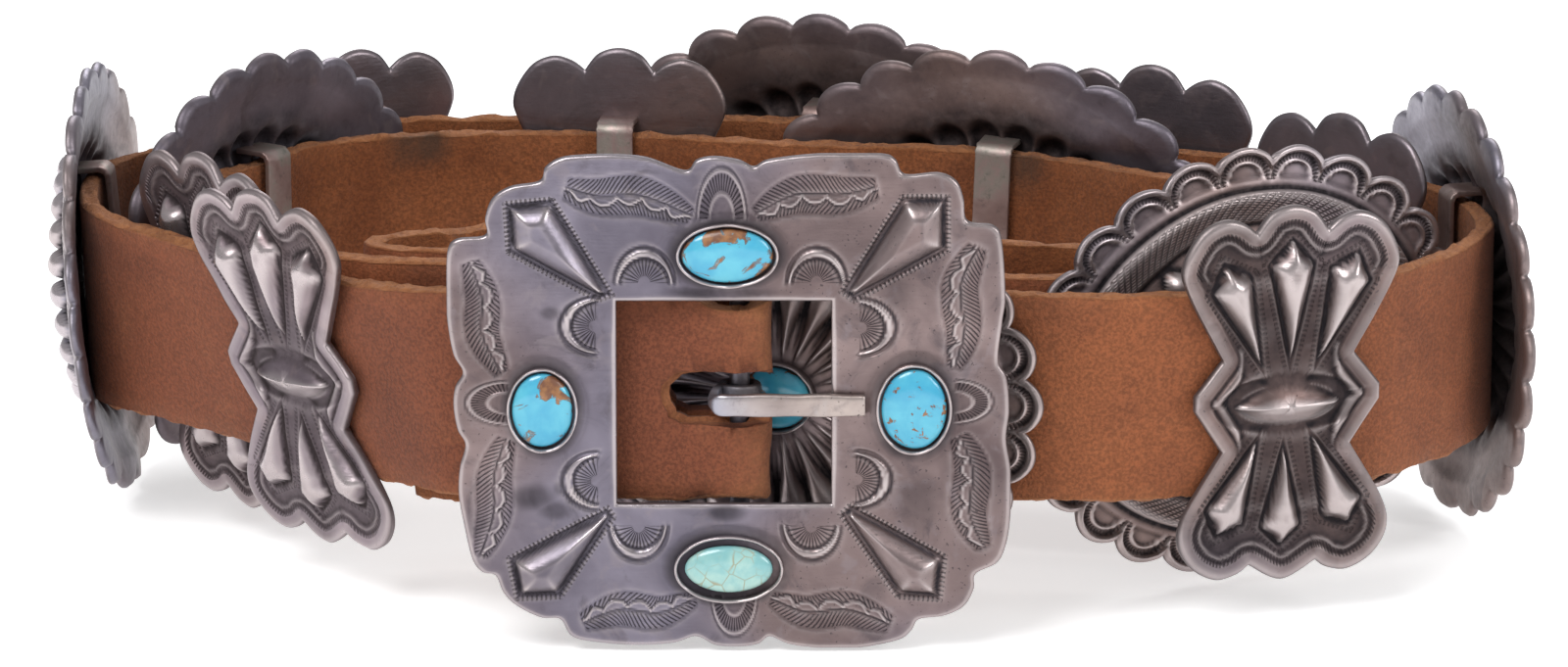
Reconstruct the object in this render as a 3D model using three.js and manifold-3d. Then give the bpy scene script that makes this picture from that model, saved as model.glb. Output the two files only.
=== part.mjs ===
// A concho belt: a leather strap coiled up on its edge, carrying seven oval conchos, seven butterfly
// plates and a stamped square buckle, all of silver, with turquoise stones. Millimetres, +Z up.
// The buckle faces -Y. The coil runs clockwise from the buckle, seen from above: once round outside,
// once round inside, and a plain tail that doubles back within. The buckle stands on the floor, z = 0,
// and the conchos stand just clear of it.
import * as THREE from "three";
import { mergeVertices } from "three/addons/utils/BufferGeometryUtils.js";
import Module from "manifold-3d";

const wasm = await Module();
wasm.setup();

// Driving sizes

const STRAP_WIDTH = 32;
const STRAP_THICKNESS = 3;
const COIL_WIDTH = 220;
const COIL_DEPTH = 140;
const FLAP_LENGTH = 60;
const FLAP_DROP = 3.5;
const CLEARANCE = 0.3;

const CONCHO_WIDTH = 81;
const CONCHO_HEIGHT = 67.5;
const CONCHO_RISE = 7;
const CONCHO_SHEET = 1.1;
const CONCHO_LOBES = 24;
const CONCHO_FLUTES = 24;
const CONCHO_STONE_WIDTH = 11;
const CONCHO_STONE_HEIGHT = 9.5;
const CONCHO_STAND = 1;

const BUTTERFLY_WIDTH = 35;
const BUTTERFLY_HEIGHT = 59;
const BUTTERFLY_SHEET = 1.3;
const BUTTERFLY_RIDGE = 2;

const LOOP_WIDTH = 6;
const LOOP_SHEET = 1;
const LOOP_PLAY_HIGH = 1.3;
const LOOP_PLAY_DEEP = 0.9;

const BUCKLE_WIDTH = 84;
const BUCKLE_HEIGHT = 76;
const BUCKLE_SHEET = 1.3;
const BUCKLE_RIDGE = 2.4;
const WINDOW_WIDTH = 32;
const WINDOW_HEIGHT = 31.2;
const WINDOW_SHIFT = -0.8;
const BAR_DIAMETER = 3;
const BAR_SHIFT = 1.5;
const BAR_LEG = 3;

const PRONG_WIDTH = 3.4;
const PRONG_SHEET = 1.6;
const PRONG_OVERLAP = 5;
const SLOT_LENGTH = 11.7;
const SLOT_HEIGHT = 8.2;

const STONE_RISE = 1.8;
const BEZEL_WALL = 0.5;
const BEZEL_RISE = 1.6;

const HOLE_COUNT = 5;
const HOLE_PITCH = 19;
const HOLE_DIAMETER = 4;

// The buckle stands beside the coil's middle, and its front face is the plane y = 0.
const BUCKLE_X = -0.037 * COIL_WIDTH;
const BUCKLE_Z = BUCKLE_HEIGHT / 2;
const BAR_X = BUCKLE_X + BAR_SHIFT;

// The bar behind the buckle's window and the leather folded round it
const BAR_RADIUS = BAR_DIAMETER / 2;
const FOLD_RADIUS = BAR_RADIUS + CLEARANCE + STRAP_THICKNESS / 2;
const FRONT_LAYER_Y = BUCKLE_SHEET + CLEARANCE + STRAP_THICKNESS / 2;
const BAR_Y = FRONT_LAYER_Y + FOLD_RADIUS;
const FLAP_Y = BAR_Y + FOLD_RADIUS;
const STACK_DEPTH = FLAP_Y + STRAP_THICKNESS / 2;

const SILVER = { color: 0x8a8289, metalness: 0.9, roughness: 0.42 };
const BRIGHT_SILVER = { color: 0xc9c6c4, metalness: 0.95, roughness: 0.3 };
const LEATHER = { color: 0x8d4f2f, metalness: 0, roughness: 0.8 };
const TURQUOISE = { color: 0x5fb7cb, metalness: 0, roughness: 0.35 };
const PALE_TURQUOISE = { color: 0x9fd3c4, metalness: 0, roughness: 0.4 };

// The strap's way round the coil, a row for each bend, from the bar on. Columns: x as a share of
// COIL_WIDTH, y as a share of COIL_DEPTH behind the front layers, which of the two fronts it is
// measured from (0 the buckle's face, 1 the back of the folded leather), the height of its middle
// over the conchos' middles as a share of STRAP_WIDTH, and its lean outwards at the top in degrees.
const COIL_ROWS = [
  { x: -0.1, y: 0.0226, front: 0, height: 0.1, lean: 0 },
  { x: -0.173, y: 0.027, front: 0, height: 0.1, lean: 0 },
  { x: -0.227, y: 0.053, front: 0, height: 0.08, lean: 3 },
  { x: -0.271, y: 0.114, front: 0, height: 0.05, lean: 9 },
  { x: -0.33, y: 0.218, front: 0, height: 0.02, lean: 13 },
  { x: -0.374, y: 0.289, front: 0, height: 0.02, lean: 13 },
  { x: -0.41, y: 0.35, front: 0, height: 0.02, lean: 11 },
  { x: -0.457, y: 0.429, front: 0, height: 0.02, lean: 9 },
  { x: -0.489, y: 0.506, front: 0, height: 0.01, lean: 3 },
  { x: -0.496, y: 0.6, front: 0, height: 0.01, lean: 3 },
  { x: -0.491, y: 0.68, front: 0, height: 0.01, lean: 5 },
  { x: -0.474, y: 0.765, front: 0, height: 0, lean: 5 },
  { x: -0.43, y: 0.855, front: 0, height: -0.01, lean: 2 },
  { x: -0.37, y: 0.92, front: 0, height: -0.02, lean: 0 },
  { x: -0.29, y: 0.985, front: 0, height: -0.02, lean: -1 },
  { x: -0.2, y: 0.993, front: 0, height: -0.02, lean: -3 },
  { x: -0.09, y: 1, front: 0, height: -0.02, lean: -4 },
  { x: 0.02, y: 0.985, front: 0, height: -0.02, lean: -4 },
  { x: 0.15, y: 0.887, front: 0, height: -0.02, lean: -3 },
  { x: 0.28, y: 0.807, front: 0, height: 0, lean: -1 },
  { x: 0.39, y: 0.71, front: 0, height: 0.01, lean: 0 },
  { x: 0.455, y: 0.63, front: 0, height: 0.01, lean: 0 },
  { x: 0.486, y: 0.536, front: 0, height: 0.01, lean: 0 },
  { x: 0.4955, y: 0.443, front: 0, height: 0.01, lean: 0 },
  { x: 0.489, y: 0.371, front: 0, height: 0.02, lean: 0 },
  { x: 0.467, y: 0.287, front: 0, height: 0.02, lean: 0 },
  { x: 0.434, y: 0.215, front: 0, height: 0.02, lean: 1 },
  { x: 0.4, y: 0.164, front: 0, height: 0.02, lean: 2 },
  { x: 0.34, y: 0.122, front: 0, height: 0.02, lean: 3 },
  { x: 0.268, y: 0.029, front: 1, height: 0.02, lean: 2 },
  { x: 0.168, y: 0.024, front: 1, height: 0.02, lean: 0 },
  { x: -0.009, y: 0.1, front: 1, height: 0.01, lean: 0 },
  { x: -0.173, y: 0.178, front: 1, height: 0.01, lean: 1 },
  { x: -0.273, y: 0.206, front: 1, height: 0.01, lean: 6 },
  { x: -0.336, y: 0.266, front: 1, height: 0.01, lean: 9 },
  { x: -0.386, y: 0.343, front: 1, height: 0.01, lean: 9 },
  { x: -0.423, y: 0.434, front: 1, height: 0.01, lean: 5 },
  { x: -0.43, y: 0.53, front: 1, height: 0.01, lean: 1 },
  { x: -0.409, y: 0.608, front: 1, height: 0.01, lean: 0 },
  { x: -0.379, y: 0.679, front: 1, height: 0.01, lean: 0 },
  { x: -0.35, y: 0.746, front: 1, height: 0.02, lean: 0 },
  { x: -0.3, y: 0.786, front: 1, height: 0.02, lean: 0 },
  { x: -0.218, y: 0.813, front: 1, height: 0.02, lean: 0 },
  { x: -0.123, y: 0.808, front: 1, height: 0.02, lean: 0 },
  { x: -0.045, y: 0.775, front: 1, height: 0.02, lean: 0 },
  { x: 0.03, y: 0.75, front: 1, height: 0.02, lean: 0 },
  { x: 0.1, y: 0.74, front: 1, height: 0.02, lean: -2 },
  { x: 0.16, y: 0.72, front: 1, height: 0.02, lean: -3 },
  { x: 0.215, y: 0.673, front: 1, height: 0.02, lean: -2 },
  { x: 0.262, y: 0.605, front: 1, height: 0.02, lean: 0 },
  { x: 0.31, y: 0.548, front: 1, height: 0.01, lean: 0 },
  { x: 0.353, y: 0.512, front: 1, height: 0.01, lean: 2 },
  { x: 0.394, y: 0.456, front: 1, height: 0.01, lean: 4 },
  { x: 0.418, y: 0.38, front: 1, height: 0.01, lean: 4 },
  { x: 0.405, y: 0.313, front: 1, height: 0.01, lean: 3 },
  { x: 0.3755, y: 0.2535, front: 1, height: 0.01, lean: 3 },
  { x: 0.321, y: 0.2065, front: 1, height: 0.01, lean: 3 },
  { x: 0.261, y: 0.1495, front: 1, height: 0.01, lean: 2 },
  { x: 0.155, y: 0.112, front: 1, height: 0.01, lean: 0 },
  { x: 0.0, y: 0.151, front: 1, height: 0.01, lean: 0 },
  { x: -0.16, y: 0.212, front: 1, height: 0.01, lean: 0 },
  { x: -0.24, y: 0.237, front: 1, height: 0.01, lean: 0 },
  { x: -0.277, y: 0.253, front: 1, height: 0.01, lean: 0 },
  { x: -0.288, y: 0.283, front: 1, height: 0.01, lean: 0 },
  { x: -0.27, y: 0.31, front: 1, height: 0.01, lean: 0 },
  { x: -0.23, y: 0.334, front: 1, height: 0.01, lean: 0 },
  { x: -0.16, y: 0.36, front: 1, height: 0.02, lean: 0 },
  { x: -0.05, y: 0.355, front: 1, height: 0.02, lean: 0 },
  { x: 0.07, y: 0.307, front: 1, height: 0.02, lean: 0 },
  { x: 0.16, y: 0.262, front: 1, height: 0.02, lean: 0 },
  { x: 0.24, y: 0.246, front: 1, height: 0.02, lean: 0 },
];

// Where each plate sits. Columns: the coil row it sits at, counted from 0 with a fraction between
// rows, then in degrees its turn against the strap seen from above, its tilt outwards at the top
// against the strap and its roll in its own plane. A concho's nest is how deep its rim lies behind
// the strap's middle as a share of CONCHO_RISE. A butterfly's drop is how far its middle hangs below
// the strap's as a share of STRAP_WIDTH, and its lift how far it stands off a bent stretch of strap,
// over the clearance, as a share of STRAP_THICKNESS.
const CONCHO_ROWS = [
  { at: 9.75, turn: 5, tilt: 1, roll: 0, nest: 0.28 },
  { at: 17.1, turn: 2, tilt: 0, roll: 0, nest: 0.28 },
  { at: 22, turn: -5, tilt: 0, roll: 0, nest: 0.35 },
  { at: 30.92, turn: 0, tilt: 0, roll: 0, nest: -0.35 },
  { at: 39, turn: 0, tilt: 0.5, roll: 0, nest: 0.25 },
  { at: 46.9, turn: 0, tilt: 0, roll: 3, nest: 0.35 },
  { at: 56, turn: 0, tilt: 0, roll: 2.5, nest: 0.16 },
];
const BUTTERFLY_ROWS = [
  { at: 4, turn: 0, tilt: 0, roll: 1.5, drop: -0.03, lift: 0.25 },
  { at: 13.75, turn: 5, tilt: 0, roll: 0, drop: 0.07, lift: 0.3 },
  { at: 18.88, turn: -3, tilt: 0, roll: 0, drop: 0.02, lift: 0.3 },
  { at: 28, turn: -2, tilt: 0, roll: 0, drop: 0, lift: 0.3 },
  { at: 35, turn: 0, tilt: 0, roll: 0, drop: 0, lift: 0 },
  { at: 43, turn: 0, tilt: 0, roll: 0, drop: 0, lift: 0 },
  { at: 51.75, turn: 0, tilt: 0, roll: 0, drop: 0, lift: 0.2 },
];

// The buckle's stamped edge, clockwise from the notch at the upper left, as shares of half its width
// and height. Two of its lowest points are level, so it stands on a flat.
const BUCKLE_EDGE = [
  { x: -0.668, y: 0.891 },
  { x: -0.647, y: 0.946 },
  { x: -0.591, y: 0.984 },
  { x: -0.508, y: 0.995 },
  { x: -0.397, y: 0.997 },
  { x: -0.287, y: 0.984 },
  { x: -0.155, y: 0.933 },
  { x: -0.114, y: 0.975 },
  { x: -0.05, y: 0.989 },
  { x: 0.035, y: 0.975 },
  { x: 0.087, y: 0.949 },
  { x: 0.143, y: 0.977 },
  { x: 0.323, y: 1 },
  { x: 0.53, y: 1 },
  { x: 0.586, y: 0.977 },
  { x: 0.62, y: 0.918 },
  { x: 0.738, y: 0.924 },
  { x: 0.801, y: 0.891 },
  { x: 0.827, y: 0.822 },
  { x: 0.842, y: 0.732 },
  { x: 0.932, y: 0.713 },
  { x: 0.963, y: 0.651 },
  { x: 0.977, y: 0.434 },
  { x: 0.967, y: 0.326 },
  { x: 0.953, y: 0.171 },
  { x: 0.983, y: 0.1 },
  { x: 0.993, y: -0.03 },
  { x: 0.983, y: -0.148 },
  { x: 1, y: -0.28 },
  { x: 1, y: -0.45 },
  { x: 0.985, y: -0.574 },
  { x: 0.953, y: -0.651 },
  { x: 0.877, y: -0.698 },
  { x: 0.87, y: -0.76 },
  { x: 0.835, y: -0.829 },
  { x: 0.766, y: -0.868 },
  { x: 0.676, y: -0.884 },
  { x: 0.648, y: -0.93 },
  { x: 0.6, y: -0.969 },
  { x: 0.46, y: -1 },
  { x: 0.323, y: -1 },
  { x: 0.212, y: -0.984 },
  { x: 0.143, y: -0.953 },
  { x: 0.101, y: -0.984 },
  { x: 0.032, y: -0.995 },
  { x: -0.051, y: -0.989 },
  { x: -0.12, y: -0.953 },
  { x: -0.204, y: -0.98 },
  { x: -0.342, y: -0.989 },
  { x: -0.481, y: -0.977 },
  { x: -0.564, y: -0.953 },
  { x: -0.605, y: -0.884 },
  { x: -0.675, y: -0.876 },
  { x: -0.758, y: -0.829 },
  { x: -0.806, y: -0.775 },
  { x: -0.834, y: -0.705 },
  { x: -0.882, y: -0.69 },
  { x: -0.917, y: -0.636 },
  { x: -0.945, y: -0.496 },
  { x: -0.963, y: -0.372 },
  { x: -0.958, y: -0.264 },
  { x: -0.938, y: -0.171 },
  { x: -0.965, y: -0.109 },
  { x: -0.979, y: -0.016 },
  { x: -0.972, y: 0.062 },
  { x: -0.945, y: 0.124 },
  { x: -0.979, y: 0.202 },
  { x: -1, y: 0.357 },
  { x: -1, y: 0.512 },
  { x: -0.993, y: 0.62 },
  { x: -0.958, y: 0.659 },
  { x: -0.861, y: 0.674 },
  { x: -0.861, y: 0.744 },
  { x: -0.834, y: 0.822 },
  { x: -0.771, y: 0.868 },
];

// The buckle's four pressed ridges, from the inner tip to the outer end, and its four stones with
// the outline of their bezels. All are shares of half the buckle's width and height.
const BUCKLE_RIDGES = [
  { innerX: -0.453, innerY: 0.457, outerX: -0.745, outerY: 0.805, width: 0.13 },
  { innerX: 0.44, innerY: 0.45, outerX: 0.73, outerY: 0.815, width: 0.13 },
  { innerX: -0.446, innerY: -0.465, outerX: -0.73, outerY: -0.8, width: 0.13 },
  { innerX: 0.42, innerY: -0.45, outerX: 0.71, outerY: -0.8, width: 0.13 },
];
const BUCKLE_STONES = [
  { x: -0.006, y: 0.6, width: 0.182, height: 0.129, loose: 0 },
  { x: -0.663, y: -0.023, width: 0.127, height: 0.171, loose: 0 },
  { x: 0.655, y: -0.019, width: 0.135, height: 0.183, loose: 0 },
  { x: -0.003, y: -0.669, width: 0.195, height: 0.137, loose: 0.8 },
];

// The butterfly's right edge from the top middle to the bottom middle, as shares of half its width
// and height.
const BUTTERFLY_EDGE = [
  { x: 0, y: 1 },
  { x: 0.2, y: 0.965 },
  { x: 0.33, y: 0.87 },
  { x: 0.46, y: 0.925 },
  { x: 0.64, y: 0.945 },
  { x: 0.85, y: 0.88 },
  { x: 1, y: 0.72 },
  { x: 0.95, y: 0.57 },
  { x: 0.61, y: 0.2 },
  { x: 0.86, y: 0.02 },
  { x: 0.86, y: -0.06 },
  { x: 0.6, y: -0.29 },
  { x: 0.92, y: -0.6 },
  { x: 0.98, y: -0.76 },
  { x: 0.85, y: -0.9 },
  { x: 0.62, y: -0.975 },
  { x: 0.42, y: -0.955 },
  { x: 0.31, y: -0.91 },
  { x: 0, y: -1 },
];

// The butterfly's six pressed ridges, from the inner tip to the outer end.
const BUTTERFLY_RIDGES = [
  { innerX: 0, innerY: 0.12, outerX: 0, outerY: 0.8, width: 0.36 },
  { innerX: 0.17, innerY: 0.15, outerX: 0.68, outerY: 0.72, width: 0.34 },
  { innerX: -0.17, innerY: 0.15, outerX: -0.68, outerY: 0.72, width: 0.34 },
  { innerX: 0, innerY: -0.12, outerX: 0, outerY: -0.8, width: 0.36 },
  { innerX: 0.17, innerY: -0.2, outerX: 0.68, outerY: -0.76, width: 0.34 },
  { innerX: -0.17, innerY: -0.2, outerX: -0.68, outerY: -0.76, width: 0.34 },
];

// A concho's face from the rim inwards. Columns: the radius as a share of the rim's and the height
// of the face over the back of the rim as a share of CONCHO_RISE.
const CONCHO_FACE = [
  { radius: 0.86, height: 0.19 },
  { radius: 0.74, height: 0.42 },
  { radius: 0.65, height: 0.47 },
];
const FLUTE_CREST = { radius: 0.57, height: 1 };
const FLUTE_VALLEY = { radius: 0.57, height: 0.86 };
const CONCHO_MIDDLE = { radius: 0.24, height: 0.8 };
const LOBE_NOTCH = 0.955;

const STONE_SECTION = [
  { share: 1, up: 0 },
  { share: 1, up: 0.4 },
  { share: 0.78, up: 0.82 },
];
const STONE_SIDES = 14;
const BEZEL_SIDES = 16;
const BAR_SIDES = 12;
const FOLD_STEPS = 8;
const TURN_STEP = THREE.MathUtils.degToRad(15);
const LONGEST_STEP = 15;

// A closed mesh as a solid, its vertices merged.
function solidOf(geometry) {
  const bare = geometry.clone();
  bare.deleteAttribute("normal");
  bare.deleteAttribute("uv");
  const merged = mergeVertices(bare, 1e-4);
  return new wasm.Manifold(
    new wasm.Mesh({
      numProp: 3,
      vertProperties: merged.attributes.position.array,
      triVerts: new Uint32Array(merged.index.array),
    }),
  );
}

function geometryOf(solid) {
  const mesh = solid.getMesh();
  const indexed = new THREE.BufferGeometry();
  indexed.setAttribute("position", new THREE.BufferAttribute(mesh.vertProperties, 3));
  indexed.setIndex(new THREE.BufferAttribute(mesh.triVerts, 1));
  const faceted = indexed.toNonIndexed();
  faceted.computeVertexNormals();
  return faceted;
}

// Geometries joined into one solid.
function joined(geometries) {
  return geometries.map(solidOf).reduce((all, next) => all.add(next));
}

// A closed surface through rings of points with a middle point at each end. Each ring runs
// anticlockwise seen from the last end, and a ring may have twice or half as many points as the next.
function closedRings(first, rings, last) {
  const points = [first, ...rings.flat(), last];
  const indices = [];
  const loops = [];
  let next = 1;
  for (const ring of rings) {
    loops.push(ring.map((_, i) => next + i));
    next += ring.length;
  }
  const lowest = loops[0];
  const highest = loops[loops.length - 1];
  lowest.forEach((point, i) => indices.push(0, lowest[(i + 1) % lowest.length], point));
  for (let k = 0; k + 1 < loops.length; k += 1) bridge(indices, loops[k], loops[k + 1]);
  highest.forEach((point, i) => indices.push(next, point, highest[(i + 1) % highest.length]));
  const geometry = new THREE.BufferGeometry();
  const positions = points.flatMap((point) => [point.x, point.y, point.z]);
  geometry.setAttribute("position", new THREE.Float32BufferAttribute(positions, 3));
  geometry.setIndex(indices);
  return geometry;
}

function bridge(indices, low, high) {
  const count = Math.min(low.length, high.length);
  const lowStep = low.length / count;
  const highStep = high.length / count;
  for (let i = 0; i < count; i += 1) {
    const a = low[i * lowStep];
    const b = low[((i + 1) * lowStep) % low.length];
    const c = high[((i + 1) * highStep) % high.length];
    const d = high[i * highStep];
    if (lowStep === 2) {
      const middle = low[2 * i + 1];
      indices.push(a, middle, d, middle, c, d, middle, b, c);
    } else if (highStep === 2) {
      const middle = high[2 * i + 1];
      indices.push(a, middle, d, a, b, middle, b, c, middle);
    } else {
      indices.push(a, b, c, a, c, d);
    }
  }
}

function ellipse(halfWidth, halfHeight, z, count) {
  return Array.from({ length: count }, (_, i) => {
    const angle = (2 * Math.PI * i) / count;
    return new THREE.Vector3(halfWidth * Math.cos(angle), halfHeight * Math.sin(angle), z);
  });
}

// A flat outline, with any holes, as a sheet from one height to another along its own z.
function sheet(outline, holes, from, to) {
  const shape = new THREE.Shape(outline.map((point) => new THREE.Vector2(point.x, point.y)));
  for (const hole of holes) {
    shape.holes.push(new THREE.Path(hole.map((point) => new THREE.Vector2(point.x, point.y))));
  }
  return new THREE.ExtrudeGeometry(shape, { depth: to - from, bevelEnabled: false }).translate(0, 0, from);
}

// A cabochon: a low dome on an upright edge.
function cabochon(width, height, base) {
  const rings = STONE_SECTION.map(({ share, up }) =>
    ellipse((share * width) / 2, (share * height) / 2, base + up * STONE_RISE, STONE_SIDES),
  );
  return closedRings(new THREE.Vector3(0, 0, base), rings, new THREE.Vector3(0, 0, base + STONE_RISE));
}

// The strip of metal that stands round a stone, its outer size given.
function bezel(width, height, base, top) {
  const outer = ellipse(width / 2, height / 2, 0, BEZEL_SIDES);
  const inner = ellipse(width / 2 - BEZEL_WALL, height / 2 - BEZEL_WALL, 0, BEZEL_SIDES);
  return sheet(outer, [inner], base, top);
}

// A ridge pressed out of a sheet: a kite with its peak over its shoulders.
function ridge(row, halfWidth, halfHeight, base, rise) {
  const inner = new THREE.Vector3(row.innerX * halfWidth, row.innerY * halfHeight, base);
  const outer = new THREE.Vector3(row.outerX * halfWidth, row.outerY * halfHeight, base);
  const along = outer.clone().sub(inner);
  const across = new THREE.Vector3(-along.y, along.x, 0).setLength((row.width * halfWidth) / 2);
  const shoulder = inner.clone().addScaledVector(along, 0.78);
  const foot = inner.clone().addScaledVector(along, 0.6);
  const peak = shoulder.clone().setZ(base + rise);
  const ring = [inner, shoulder.clone().sub(across), outer, shoulder.clone().add(across)];
  return closedRings(foot, [ring], peak);
}

// The strap

const coilPoints = [new THREE.Vector3(BAR_X, FRONT_LAYER_Y, 0), ...COIL_ROWS.map(coilPoint)];
coilPoints[0].z = coilPoints[1].z;
const coil = new THREE.CatmullRomCurve3(coilPoints, false, "catmullrom", 0.5);
const leans = new THREE.CatmullRomCurve3(
  [COIL_ROWS[0], ...COIL_ROWS].map((row) => new THREE.Vector3(THREE.MathUtils.degToRad(row.lean), 0, 0)),
  false,
  "catmullrom",
  0.5,
);

function coilPoint(row) {
  const front = row.front === 1 ? STACK_DEPTH : FRONT_LAYER_Y;
  const height = CONCHO_STAND + CONCHO_HEIGHT / 2 + row.height * STRAP_WIDTH;
  return new THREE.Vector3(row.x * COIL_WIDTH, front + row.y * COIL_DEPTH, height);
}

// The directions of a strap that runs one way and leans outwards at the top.
function leaningAxes(way, lean) {
  const side = new THREE.Vector3(-way.y, way.x, 0);
  const upright = new THREE.Vector3(0, 0, 1);
  const up = side.clone().multiplyScalar(Math.sin(lean)).addScaledVector(upright, Math.cos(lean));
  const outward = side.clone().multiplyScalar(Math.cos(lean)).addScaledVector(upright, -Math.sin(lean));
  return { way, up, outward };
}

function strapStation(share) {
  const way = coil.getTangent(share).setZ(0).normalize();
  return { middle: coil.getPoint(share), ...leaningAxes(way, leans.getPoint(share).x) };
}

// The shares of the curve at which the strap's sections stand, closer where it bends.
function sectionShares() {
  const last = coilPoints.length - 1;
  const wayAt = (row) => coil.getTangent(row / last).setZ(0);
  const shares = [];
  for (let row = 0; row < last; row += 1) {
    const turn = wayAt(row).angleTo(wayAt(row + 0.5)) + wayAt(row + 0.5).angleTo(wayAt(row + 1));
    const length = coilPoints[row].distanceTo(coilPoints[row + 1]);
    const steps = Math.max(1, Math.ceil(turn / TURN_STEP), Math.ceil(length / LONGEST_STEP));
    for (let step = 0; step < steps; step += 1) shares.push((row + step / steps) / last);
  }
  return [...shares, 1];
}

// The flap lies behind the front layer: its gap closes and it sinks from the bar to its end.
function flapStations(along) {
  const stations = [];
  let length = 0;
  for (let i = 0; i + 1 < along.length && length <= FLAP_LENGTH; i += 1) {
    const { middle, up, outward } = along[i];
    const share = length / FLAP_LENGTH;
    const gap = THREE.MathUtils.lerp(2 * FOLD_RADIUS, STRAP_THICKNESS + CLEARANCE, share);
    const place = middle.clone().addScaledVector(outward, -gap);
    place.z -= FLAP_DROP * share;
    stations.unshift({ middle: place, up, outward: outward.clone().negate() });
    length += along[i + 1].middle.distanceTo(middle);
  }
  return stations;
}

function foldStations() {
  const up = new THREE.Vector3(0, 0, 1);
  return Array.from({ length: FOLD_STEPS - 1 }, (_, i) => {
    const angle = Math.PI / 2 - (Math.PI * (i + 1)) / FOLD_STEPS;
    const outward = new THREE.Vector3(Math.cos(angle), Math.sin(angle), 0);
    const bar = new THREE.Vector3(BAR_X, BAR_Y, coilPoints[0].z);
    return { middle: bar.addScaledVector(outward, FOLD_RADIUS), up, outward };
  });
}

function strapRing({ middle, up, outward }) {
  const corner = (out, high) =>
    middle
      .clone()
      .addScaledVector(outward, (out * STRAP_THICKNESS) / 2)
      .addScaledVector(up, (high * STRAP_WIDTH) / 2);
  return [corner(1, -1), corner(1, 1), corner(-1, 1), corner(-1, -1)];
}

function strapSolid() {
  const along = sectionShares().map(strapStation);
  const stations = [...flapStations(along), ...foldStations(), ...along];
  const body = closedRings(stations[0].middle, stations.map(strapRing), stations.at(-1).middle);
  return solidOf(body).subtract(slotCutter()).subtract(holeCutters());
}

// The prong's slot, through both layers and the fold, with a round end away from the bar
function slotCutter() {
  const radius = SLOT_HEIGHT / 2;
  const right = BAR_X + FOLD_RADIUS + STRAP_THICKNESS;
  const left = BAR_X - SLOT_LENGTH + radius;
  const outline = [new THREE.Vector2(right, -radius), new THREE.Vector2(right, radius)];
  for (let i = 0; i <= 6; i += 1) {
    const angle = Math.PI / 2 + (Math.PI * i) / 6;
    outline.push(new THREE.Vector2(left + radius * Math.cos(angle), radius * Math.sin(angle)));
  }
  const cutter = sheet(outline, [], 0, STACK_DEPTH + STRAP_THICKNESS);
  return solidOf(cutter.rotateX(-Math.PI / 2).translate(0, -CLEARANCE, coilPoints[0].z));
}

// The holes in the tail for the prong, on the strap's middle line
function holeCutters() {
  const curveLength = coil.getLength();
  const cutters = [];
  for (let i = 1; i <= HOLE_COUNT; i += 1) {
    const share = coil.getUtoTmapping(1 - (i * HOLE_PITCH) / curveLength);
    const { middle, up, outward } = strapStation(share);
    const hole = new THREE.CylinderGeometry(HOLE_DIAMETER / 2, HOLE_DIAMETER / 2, 3 * STRAP_THICKNESS, BAR_SIDES);
    const across = new THREE.Vector3().crossVectors(outward, up);
    hole.applyMatrix4(new THREE.Matrix4().makeBasis(up, outward, across.negate()).setPosition(middle));
    cutters.push(solidOf(hole));
  }
  return cutters.reduce((all, next) => all.add(next));
}

// The plates

// The copper strap loop behind a plate, in the plate's own directions.
function strapLoop(strapHeight, strapDepth, plateBack) {
  const inner = STRAP_WIDTH / 2 + LOOP_PLAY_HIGH;
  const outer = inner + LOOP_SHEET;
  const back = strapDepth - STRAP_THICKNESS / 2 - LOOP_PLAY_DEEP;
  const outline = [
    { x: -outer, y: plateBack },
    { x: -outer, y: back - LOOP_SHEET },
    { x: outer, y: back - LOOP_SHEET },
    { x: outer, y: plateBack },
    { x: inner, y: plateBack },
    { x: inner, y: back },
    { x: -inner, y: back },
    { x: -inner, y: plateBack },
  ].map(({ x, y }) => ({ x: x + strapHeight, y }));
  const strip = sheet(outline, [], -LOOP_WIDTH / 2, LOOP_WIDTH / 2);
  const high = new THREE.Vector3(0, 1, 0);
  const out = new THREE.Vector3(0, 0, 1);
  return strip.applyMatrix4(new THREE.Matrix4().makeBasis(high, out, new THREE.Vector3(1, 0, 0)));
}

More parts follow.
